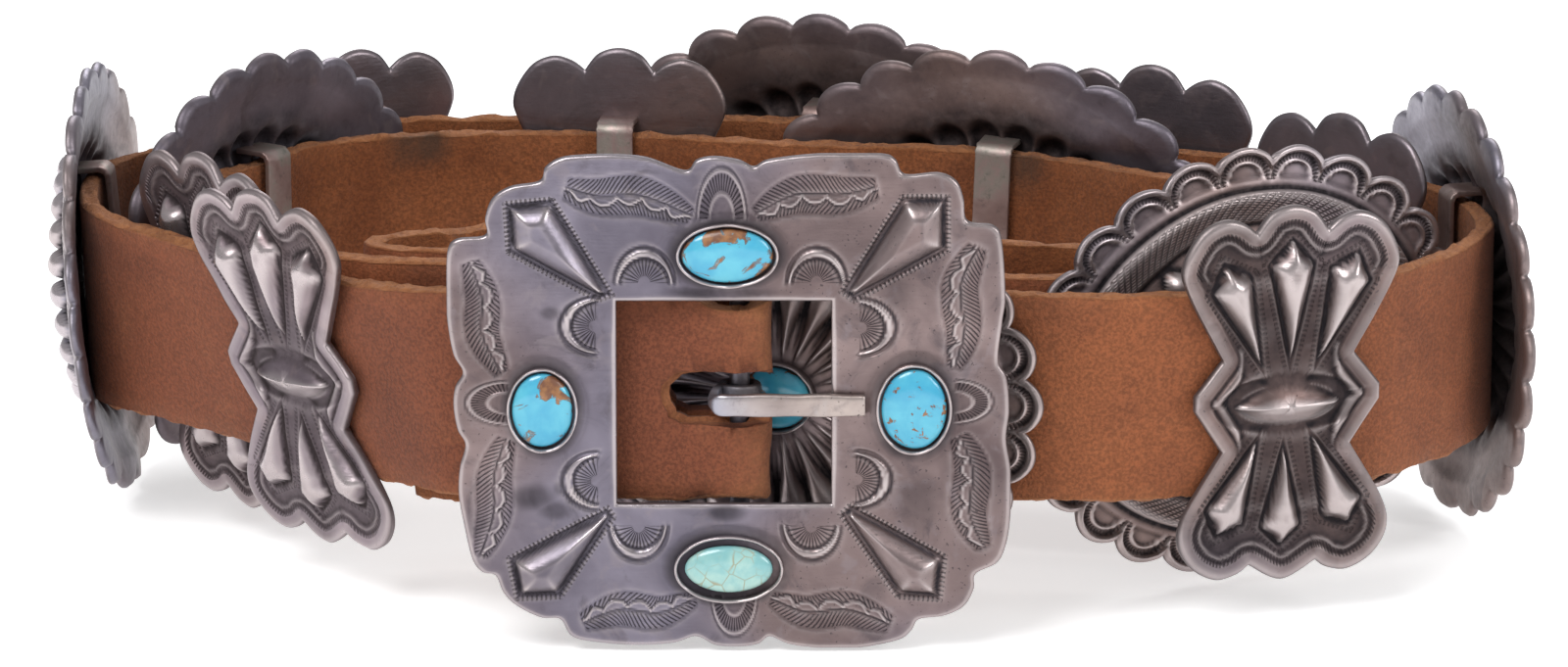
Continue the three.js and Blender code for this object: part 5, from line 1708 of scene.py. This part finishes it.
@dataclass
class Prong:
    """The buckle's tongue: a loop round the bar and a flat arm over the window's right edge."""

    width: float = 3.4
    sheet: float = 1.6
    overlap: float = 5.0

    def build(self, place: Matrix) -> None:
        """Bends the tongue from one flat bar.

        Args:
            place: where the coil's own frame lies.
        """
        level = CONCHO_STAND + CONCHO_HEIGHT / 2 + COIL_ROWS[0][3] * STRAP_WIDTH
        inner = BAR_DIAMETER / 2 + CLEARANCE
        middle = inner + self.sheet / 2
        tip = BUCKLE_X - 0.8 + 16 + self.overlap
        front = -CLEARANCE - self.sheet / 2
        line = [
            (BAR_X + middle * math.cos(a), BAR_Y + middle * math.sin(a))
            for a in np.linspace(0.9 * math.pi, -0.95 * math.pi, 18)
        ]
        left = BAR_X - inner - self.sheet * 0.7 - 0.7
        line += [
            (left + 0.4, BAR_Y - 2.0), (left - 0.3, 2.6), (left - 0.3, 0.6), (left + 0.35, front + 0.35),
            (left + 1.5, front),
        ]
        line += [(x, front) for x in np.linspace(left + 3, tip, 14)]
        points = spline(np.array(line), 110, False)
        way = np.gradient(points, axis=0)
        way /= np.linalg.norm(way, axis=1)[:, None]
        side = np.stack([-way[:, 1], way[:, 0]], axis=1)
        turn = np.linspace(0, 2 * math.pi, 25)[:-1] + math.pi / 24
        square = np.stack(
            [
                np.sign(np.cos(turn)) * np.abs(np.cos(turn)) ** 0.45,
                np.sign(np.sin(turn)) * np.abs(np.sin(turn)) ** 0.45,
            ],
            axis=1,
        )
        arm = np.linspace(0, 1, len(points))
        wide = self.width / 2 * (1 + 0.035 * np.sin(31 * arm) - 0.03 * smooth(0.85, 1.0, arm))
        wide = wide * (
            1 - 0.6 * smooth(front - 0.05, front + 1.2, points[:, 1]) * smooth(4.0, 2.0, points[:, 1])
        )
        thick = self.sheet / 2 * np.where(points[:, 1] < 0.6, 0.97, 0.9)
        rows = points[:, None, :] + side[:, None, :] * (square[None, :, 0] * thick[:, None])[..., None]
        high = level + square[None, :, 1] * wide[:, None]
        grid = np.dstack([rows[..., 0], rows[..., 1], high])
        phase = np.repeat((points[:, 0] / 0.8)[:, None], 24, axis=1)
        stamp = np.dstack([wrapped(phase), np.full((len(points), 25), -1.0)])
        values = {name: np.zeros(phase.shape) for name in ("sunk", "proud", "stain")}
        # Darker the further back it runs behind the buckle plate and round the bar.
        values["sunk"] = 0.8 * smooth(1.0, 5.0, np.repeat(points[:, 1:2], 24, axis=1))
        values["proud"] = 0.55 * smooth(0.5, -0.5, np.repeat(points[:, 1:2], 24, axis=1)) * (
            np.abs(square[:, 0] * square[:, 1]) > 0.75
        )[None, :]
        made = GridMesh(
            "prong_arm", grid[::-1], stamp=stamp[::-1], values={k: v[::-1] for k, v in values.items()}
        ).build(place)
        dress(made, PRONG_SILVER.material(), Slot.BRIGHT, Body.PRONG, "prong")


@dataclass
class Strap:
    """The leather strap, folded round the bar and coiled."""

    step: float = 1.15
    flap_length: float = 60.0
    flap_drop: float = 3.5
    fuzz: float = 0.32
    slot_length: float = 11.7
    slot_height: float = 8.2
    hole_count: int = 5
    hole_pitch: float = 19.0
    hole_diameter: float = 4.0

    # Dark marks on the inner side: x, y and z on the coil, and the mark's half width and height
    MARKS = (
        (-59.0, 118.0, 50.0, 6.0, 4.0),
        (38.0, 100.0, 50.0, 5.0, 7.0),
        (-30.0, 120.0, 30.0, 9.0, 3.0),
        (66.0, 58.0, 44.0, 6.0, 5.0),
    )

    def section(self) -> np.ndarray:
        """The strap's cross section: out, up, how far towards the flesh side, and how much cut edge."""
        half, thick = STRAP_WIDTH / 2, STRAP_THICKNESS / 2
        face = [(thick, h, 0.0, 0.0) for h in np.linspace(-half + 0.55, half - 0.55, 12)]
        top = [
            (thick - 0.12, half - 0.2, 0.2, 0.6), (0.9, half, 0.5, 1.0), (0.3, half, 0.5, 1.0),
            (-0.3, half, 0.5, 1.0), (-0.9, half, 0.8, 1.0), (-thick + 0.12, half - 0.2, 1.0, 0.7),
        ]
        back = [(-thick, -h, 1.0, 0.0) for _, h, _, _ in face]
        bottom = [(-o, -h, 1 - f, z) for o, h, f, z in top]
        return np.array(face + top + back + bottom)

    def stations(self, coil: CoilPath) -> tuple[np.ndarray, ...]:
        """The sections' middles and directions, from the flap's end to the tail's, and their lengths."""
        shares, lengths = coil.even_shares(self.step)
        middle, _, up, outward = coil.stations(shares)
        keep = lengths <= self.flap_length - 3
        part = lengths[keep] / self.flap_length
        gap = (2 * FOLD_RADIUS) * (1 - part) + (STRAP_THICKNESS + CLEARANCE) * part
        flap = middle[keep] - outward[keep] * gap[:, None]
        flap[:, 2] -= self.flap_drop * part
        angle = math.pi / 2 - math.pi * np.arange(1, 12) / 12
        fold_out = np.stack([np.cos(angle), np.sin(angle), np.zeros(11)], axis=1)
        bar = np.array([BAR_X, BAR_Y, coil.points[0, 2]])
        fold = bar + fold_out * FOLD_RADIUS
        upright = np.tile([0.0, 0.0, 1.0], (11, 1))
        return (
            np.vstack([flap[::-1], fold, middle]),
            np.vstack([up[keep][::-1], upright, up]),
            np.vstack([-outward[keep][::-1], fold_out, outward]),
            np.r_[-lengths[keep][::-1] - 10, np.linspace(-9, -1, 11), lengths],
        )

    def build(self, coil: CoilPath, place: Matrix) -> None:
        """Sweeps the strap, roughens its edges and cuts its slot and holes.

        Args:
            coil: the strap's way.
            place: where the coil's own frame lies.
        """
        middle, up, outward, lengths = self.stations(coil)
        section = self.section()
        source = np.random.default_rng(SEED)
        rows, columns = len(middle), len(section)
        rough = source.normal(0, 1, (rows, columns))
        rough = 0.6 * rough + 0.4 * (np.roll(rough, 1, 0) + np.roll(rough, -1, 0)) / 1.4
        slow = np.repeat(source.normal(0, 1, (rows // 6 + 2, 2)), 6, axis=0)[:rows]
        slow = (slow + np.roll(slow, 2, 0) + np.roll(slow, -2, 0)) / 3
        cut = section[:, 3][None, :]
        edge = np.where(section[:, 1] > 0, slow[:, :1], -slow[:, 1:])
        lift = cut * (np.clip(rough * self.fuzz, -0.5, 0.6) * np.sign(section[:, 1])[None, :] + 0.1 * edge)
        lift = lift - 0.12 * cut * np.sign(section[:, 1])[None, :]
        upper = smooth(
            0.6, 1.0, np.abs(section[:, 1]) / STRAP_WIDTH * 2
        )[None, :] * np.sign(section[:, 1])[None, :]
        dip = np.exp(-((np.abs(lengths - 1) / 5.0) ** 4))[:, None]
        side = np.where(section[:, 1] > 0, 2.0, 0.9)[None, :]
        lift = lift - dip * upper * (side + 0.3 * slow[:, :1])
        fold = np.exp(-(((lengths + 5) / 4.5) ** 2))[:, None]
        ragged = blurred(source.normal(0, 1, (rows, columns)), 1)
        out = section[None, :, 0] + 0.06 * cut * rough[::-1] + 0.55 * fold * ragged * (
            section[None, :, 0] > 0
        )
        points = middle[:, None] + outward[:, None] * out[..., None] + up[:, None] * (
            section[None, :, 1] + lift
        )[..., None]
        across = np.tile(section[:, 1] / STRAP_WIDTH + 0.5, (rows, 1))
        along = np.repeat(np.clip((lengths + 60) / 1400, 0, 1)[:, None], columns, axis=1)
        flesh = np.tile(section[:, 2], (rows, 1))
        fuzz = np.tile(section[:, 3], (rows, 1)) * (0.75 + 0.25 * np.abs(rough))
        near_edge = smooth(0.36, 0.5, np.abs(across - 0.5))
        fuzz = np.clip(fuzz + 0.75 * fold * (0.55 + 0.3 * near_edge) + 0.12 * near_edge, 0, 1)
        stain = self.stains(points, flesh)
        values = {"flesh": flesh[::-1], "fuzz": fuzz[::-1], "stain": stain[::-1]}
        grid = GridMesh("strap_leather", points[::-1], values=values)
        grid.stamp = np.dstack([wrapped(along), wrapped(across)])[::-1]
        made = grid.build(Matrix.Identity(4))
        made.data.uv_layers["stamp"].name = "strap"
        self.cut_slot(made, coil)
        self.cut_holes(made, coil)
        settle(made, place)
        dress(made, LeatherFinish("belt leather").material(), Slot.LEATHER, Body.BELT, "strap")

    def stains(self, points: np.ndarray, flesh: np.ndarray) -> np.ndarray:
        """Where the leather is marked dark, on its inner side."""
        stain = np.zeros(points.shape[:2])
        for x, y, z, wide, high in self.MARKS:
            away = np.linalg.norm((points - (x, y, z)) / (wide, 14.0, high), axis=2)
            stain = np.maximum(stain, smooth(1.2, 0.5, away) * flesh)
        return stain

    def cut_slot(self, strap: bpy.types.Object, coil: CoilPath) -> None:
        """Cuts the tongue's slot through the fold and both layers."""
        radius = self.slot_height / 2
        left = BAR_X - self.slot_length + radius
        right = BAR_X + FOLD_RADIUS + STRAP_THICKNESS
        source = np.random.default_rng(SEED + 1)
        ring = [(right, -radius), (right, radius)]
        ring += [(x, radius) for x in np.linspace(right - 2, left, 8)]
        ring += [
            (left + radius * math.cos(a), radius * math.sin(a))
            for a in np.linspace(math.pi / 2, 1.5 * math.pi, 14)[1:-1]
        ]
        ring += [(x, -radius) for x in np.linspace(left, right - 2, 8)]
        level = coil.points[0, 2]
        loose = source.normal(0, 0.13, (len(ring), 2))
        ring = [(x + (dx if x < right - 1 else 0), y + dy) for (x, y), (dx, dy) in zip(ring, loose)]
        depth = STACK_DEPTH + STRAP_THICKNESS
        narrow = [(right - (right - x) * 0.93, y * 0.84) for x, y in ring]
        rings = [(-CLEARANCE, ring), (BAR_Y - 1.5, ring), (BAR_Y - 1.0, narrow), (depth, narrow)]
        vertices = [(x, y, level + z) for y, line in rings for x, z in line]
        count = len(ring)
        faces = [list(range(count)), [4 * count - 1 - i for i in range(count)]]
        faces += [
            [
                k * count + (i + 1) % count, k * count + i, (k + 1) * count + i,
                (k + 1) * count + (i + 1) % count,
            ]
            for k in range(3)
            for i in range(count)
        ]
        mesh = bpy.data.meshes.new("slot_cutter")
        mesh.from_pydata(vertices, [], faces)
        mesh.attributes.new("fuzz", "FLOAT", "POINT").data.foreach_set("value", [0.5] * len(vertices))
        cutter = linked("slot_cutter", mesh)
        make_active(cutter)
        bpy.ops.object.mode_set(mode="EDIT")
        bpy.ops.mesh.select_all(action="SELECT")
        bpy.ops.mesh.normals_make_consistent(inside=False)
        bpy.ops.object.mode_set(mode="OBJECT")
        combine(strap, cutter, "DIFFERENCE", "MANIFOLD")

    def cut_holes(self, strap: bpy.types.Object, coil: CoilPath) -> None:
        """Punches the holes in the tail."""
        shares, lengths = coil.even_shares(0.5)
        for i in range(1, self.hole_count + 1):
            share = np.interp(lengths[-1] - i * self.hole_pitch, lengths, shares)
            middle, _, up, outward = (v[0] for v in coil.stations(share))
            turned = Vector(outward).to_track_quat("Z", "Y").to_matrix().to_4x4()
            deselect()
            bpy.ops.mesh.primitive_cylinder_add(vertices=28, radius=self.hole_diameter / 2, depth=9)
            cutter = bpy.context.object
            cutter.matrix_world = Matrix.Translation(Vector(middle)) @ turned
            settle(cutter, Matrix.Identity(4))
            combine(strap, cutter, "DIFFERENCE", "MANIFOLD")


@dataclass(frozen=True)
class Seat:
    """Where a plate sits on the strap."""

    at: float
    turn: float = 0.0
    tilt: float = 0.0
    roll: float = 0.0
    nest: float = 0.0
    drop: float = 0.0
    lift: float = 0.0


CONCHO_SEATS = (
    Seat(9.75, turn=5, tilt=1, nest=0.28),
    Seat(17.1, turn=2, nest=0.28),
    Seat(22, turn=-5, nest=0.35),
    Seat(30.92, nest=-0.35),
    Seat(39, tilt=0.5, nest=0.25),
    Seat(46.9, roll=3, nest=0.35),
    Seat(56, roll=2.5, nest=0.16),
)
BUTTERFLY_SEATS = (
    Seat(4, roll=1.5, drop=-0.03, lift=0.25),
    Seat(13.75, turn=5, drop=0.07, lift=0.3),
    Seat(18.88, turn=-3, drop=0.02, lift=0.3),
    Seat(28, turn=-2, lift=0.3),
    Seat(35),
    Seat(43),
    Seat(51.75, lift=0.2),
)


@dataclass
class Plates:
    """The seven conchos and the seven butterflies, with their loops and stones."""

    coil: CoilPath
    place: Matrix

    def build(self) -> None:
        """Shapes one concho and one butterfly, and sets copies of them along the strap."""
        concho = Concho()
        silver = CONCHO_SILVER.material()
        pale = PALE_CONCHO_SILVER.material()
        copper = CopperFinish("copper loops", green=0.12).material()
        model = concho.build("concho").build(Matrix.Identity(4))
        dome = concho.rise * 0.8
        for i, seat in enumerate(CONCHO_SEATS):
            matrix = self.coil.plate_matrix(
                seat.at, seat.turn, seat.tilt, seat.roll, -seat.nest * concho.rise, 0
            )
            matrix = Matrix.Translation((0, 0, CONCHO_STAND - self.lowest(matrix, concho))) @ matrix
            spot = self.place @ matrix
            plate = settle(copied(model, f"concho_{i + 1}_plate"), spot)
            dress(plate, pale if i in (0, 2) else silver, Slot.SILVER, Body.BELT, f"concho_{i + 1}")
            gem = Cabochon(
                concho.stone_width, concho.stone_height, dome + CLEARANCE,
                bezel_width=concho.stone_width + 1.6, bezel_height=concho.stone_height + 1.6,
                bezel_base=dome - 0.4, bezel_top=dome + 1.6,
            )
            stone = gem.stone(f"concho_stone_{i + 1}_dome", spot, i)
            finish = StoneFinish(f"concho stone {i + 1}", patches=0.3 + 0.05 * (i % 4), specks=0.3)
            dress(stone, finish.material(), Slot.TURQUOISE, Body.BELT, f"concho_stone_{i + 1}")
            dress(gem.bezel(f"concho_bezel_{i + 1}", spot, i), silver, Slot.SILVER, Body.BELT)
            loop = StrapLoop().build(
                f"concho_loop_{i + 1}", spot, 0.0, seat.nest * concho.rise, 0.84 * concho.rise - 1.0
            )
            dress(loop, copper, Slot.SILVER, Body.BELT)
        bpy.data.objects.remove(model)
        butterfly = Butterfly()
        warm = WARM_SILVER.material()
        dark = DARK_SILVER.material()
        model = butterfly.build("butterfly").build(Matrix.Identity(4))
        for i, seat in enumerate(BUTTERFLY_SEATS):
            depth = (0.5 + seat.lift) * STRAP_THICKNESS + CLEARANCE
            matrix = self.coil.plate_matrix(
                seat.at, seat.turn, seat.tilt, seat.roll, depth, seat.drop * STRAP_WIDTH
            )
            spot = self.place @ matrix
            plate = settle(copied(model, f"butterfly_{i + 1}_plate"), spot)
            dress(plate, warm if i in (0, 4) else dark, Slot.SILVER, Body.BELT, f"butterfly_{i + 1}")
            loop = StrapLoop().build(f"butterfly_loop_{i + 1}", spot, seat.drop * STRAP_WIDTH, -depth, 0.5)
            dress(loop, copper, Slot.SILVER, Body.BELT)
        bpy.data.objects.remove(model)

    @staticmethod
    def lowest(matrix: Matrix, concho: Concho) -> float:
        """The height of a concho's lowest point before it is stood on its own level."""
        best = 1e9
        for i in range(48):
            angle = 2 * math.pi * i / 48
            share = 1 if i % 2 == 0 else 0.955
            for level in (0.0, concho.sheet):
                point = Vector(
                    (
                        share * concho.width / 2 * math.cos(angle),
                        share * concho.height / 2 * math.sin(angle), level,
                    )
                )
                best = min(best, (matrix @ point).z)
        return best


@dataclass
class Studio:
    """A pale floor, soft light and the camera at the photograph's angle."""

    lens: float = 200.4
    elevation: float = 14.0
    camera_place: tuple[float, float, float] = (-0.000371, -1.333987, 0.3626)

    def build(self) -> None:
        """Sets the floor, the lights and the camera."""
        deselect()
        bpy.ops.mesh.primitive_plane_add(size=12, location=(0, 0, -0.0006))
        floor = bpy.context.object
        floor.name = "floor"
        material = bpy.data.materials.new("pale floor")
        material.use_nodes = True
        shader = material.node_tree.nodes["Principled BSDF"]
        shader.inputs["Base Color"].default_value = (0.93, 0.93, 0.93, 1)
        shader.inputs["Roughness"].default_value = 0.9
        shader.inputs["Emission Color"].default_value = (1, 1, 1, 1)
        shader.inputs["Emission Strength"].default_value = 0.5
        floor.data.materials.append(material)
        world = bpy.data.worlds.new("studio")
        world.use_nodes = True
        world.node_tree.nodes["Background"].inputs[0].default_value = (0.96, 0.97, 1.0, 1)
        world.node_tree.nodes["Background"].inputs[1].default_value = 0.42
        bpy.context.scene.world = world
        self.light("key", (-0.55, -0.9, 1.15), 0.8, 14.0)
        self.light("fill", (0.95, -0.6, 0.6), 0.6, 5.0)
        self.light("back", (0.1, 1.1, 1.0), 0.9, 9.0)
        tilt = math.radians(self.elevation)
        data = bpy.data.cameras.new("camera")
        data.lens = self.lens
        data.sensor_width = 36
        data.clip_end = 50
        camera = linked("camera", data)
        camera.location = self.camera_place
        camera.rotation_euler = (math.pi / 2 - tilt, 0, 0)
        bpy.context.scene.camera = camera
        bpy.context.scene.view_settings.view_transform = "Standard"
        bpy.context.scene.view_settings.look = "None"

    @staticmethod
    def light(name: str, place: tuple[float, float, float], size: float, power: float) -> None:
        """Adds a soft lamp that points at the belt."""
        data = bpy.data.lights.new(name, "AREA")
        data.shape = "DISK"
        data.size = size
        data.energy = power
        lamp = linked(name, data)
        lamp.location = place
        lamp.rotation_euler = (Vector((0, 0, 0.03)) - Vector(place)).to_track_quat("-Z", "Y").to_euler()


def main() -> None:
    """Builds the belt in order."""
    logging.basicConfig(level=logging.INFO, format="%(message)s")
    deselect()
    for build_group in (build_patina_group, build_stroke_group, build_leather_group, build_stone_group):
        build_group()
    place = world_matrix()
    coil = CoilPath()
    Strap().build(coil, place)
    buckle_place = place @ Matrix.Translation(
        (BUCKLE_X, 0, BUCKLE_HEIGHT / 2)
    ) @ Matrix.Rotation(math.pi / 2, 4, "X")
    BuckleFrame().build(buckle_place, BUCKLE_SILVER)
    Prong().build(place)
    Plates(coil, place).build()
    Studio().build()


if __name__ == "__main__":
    main()
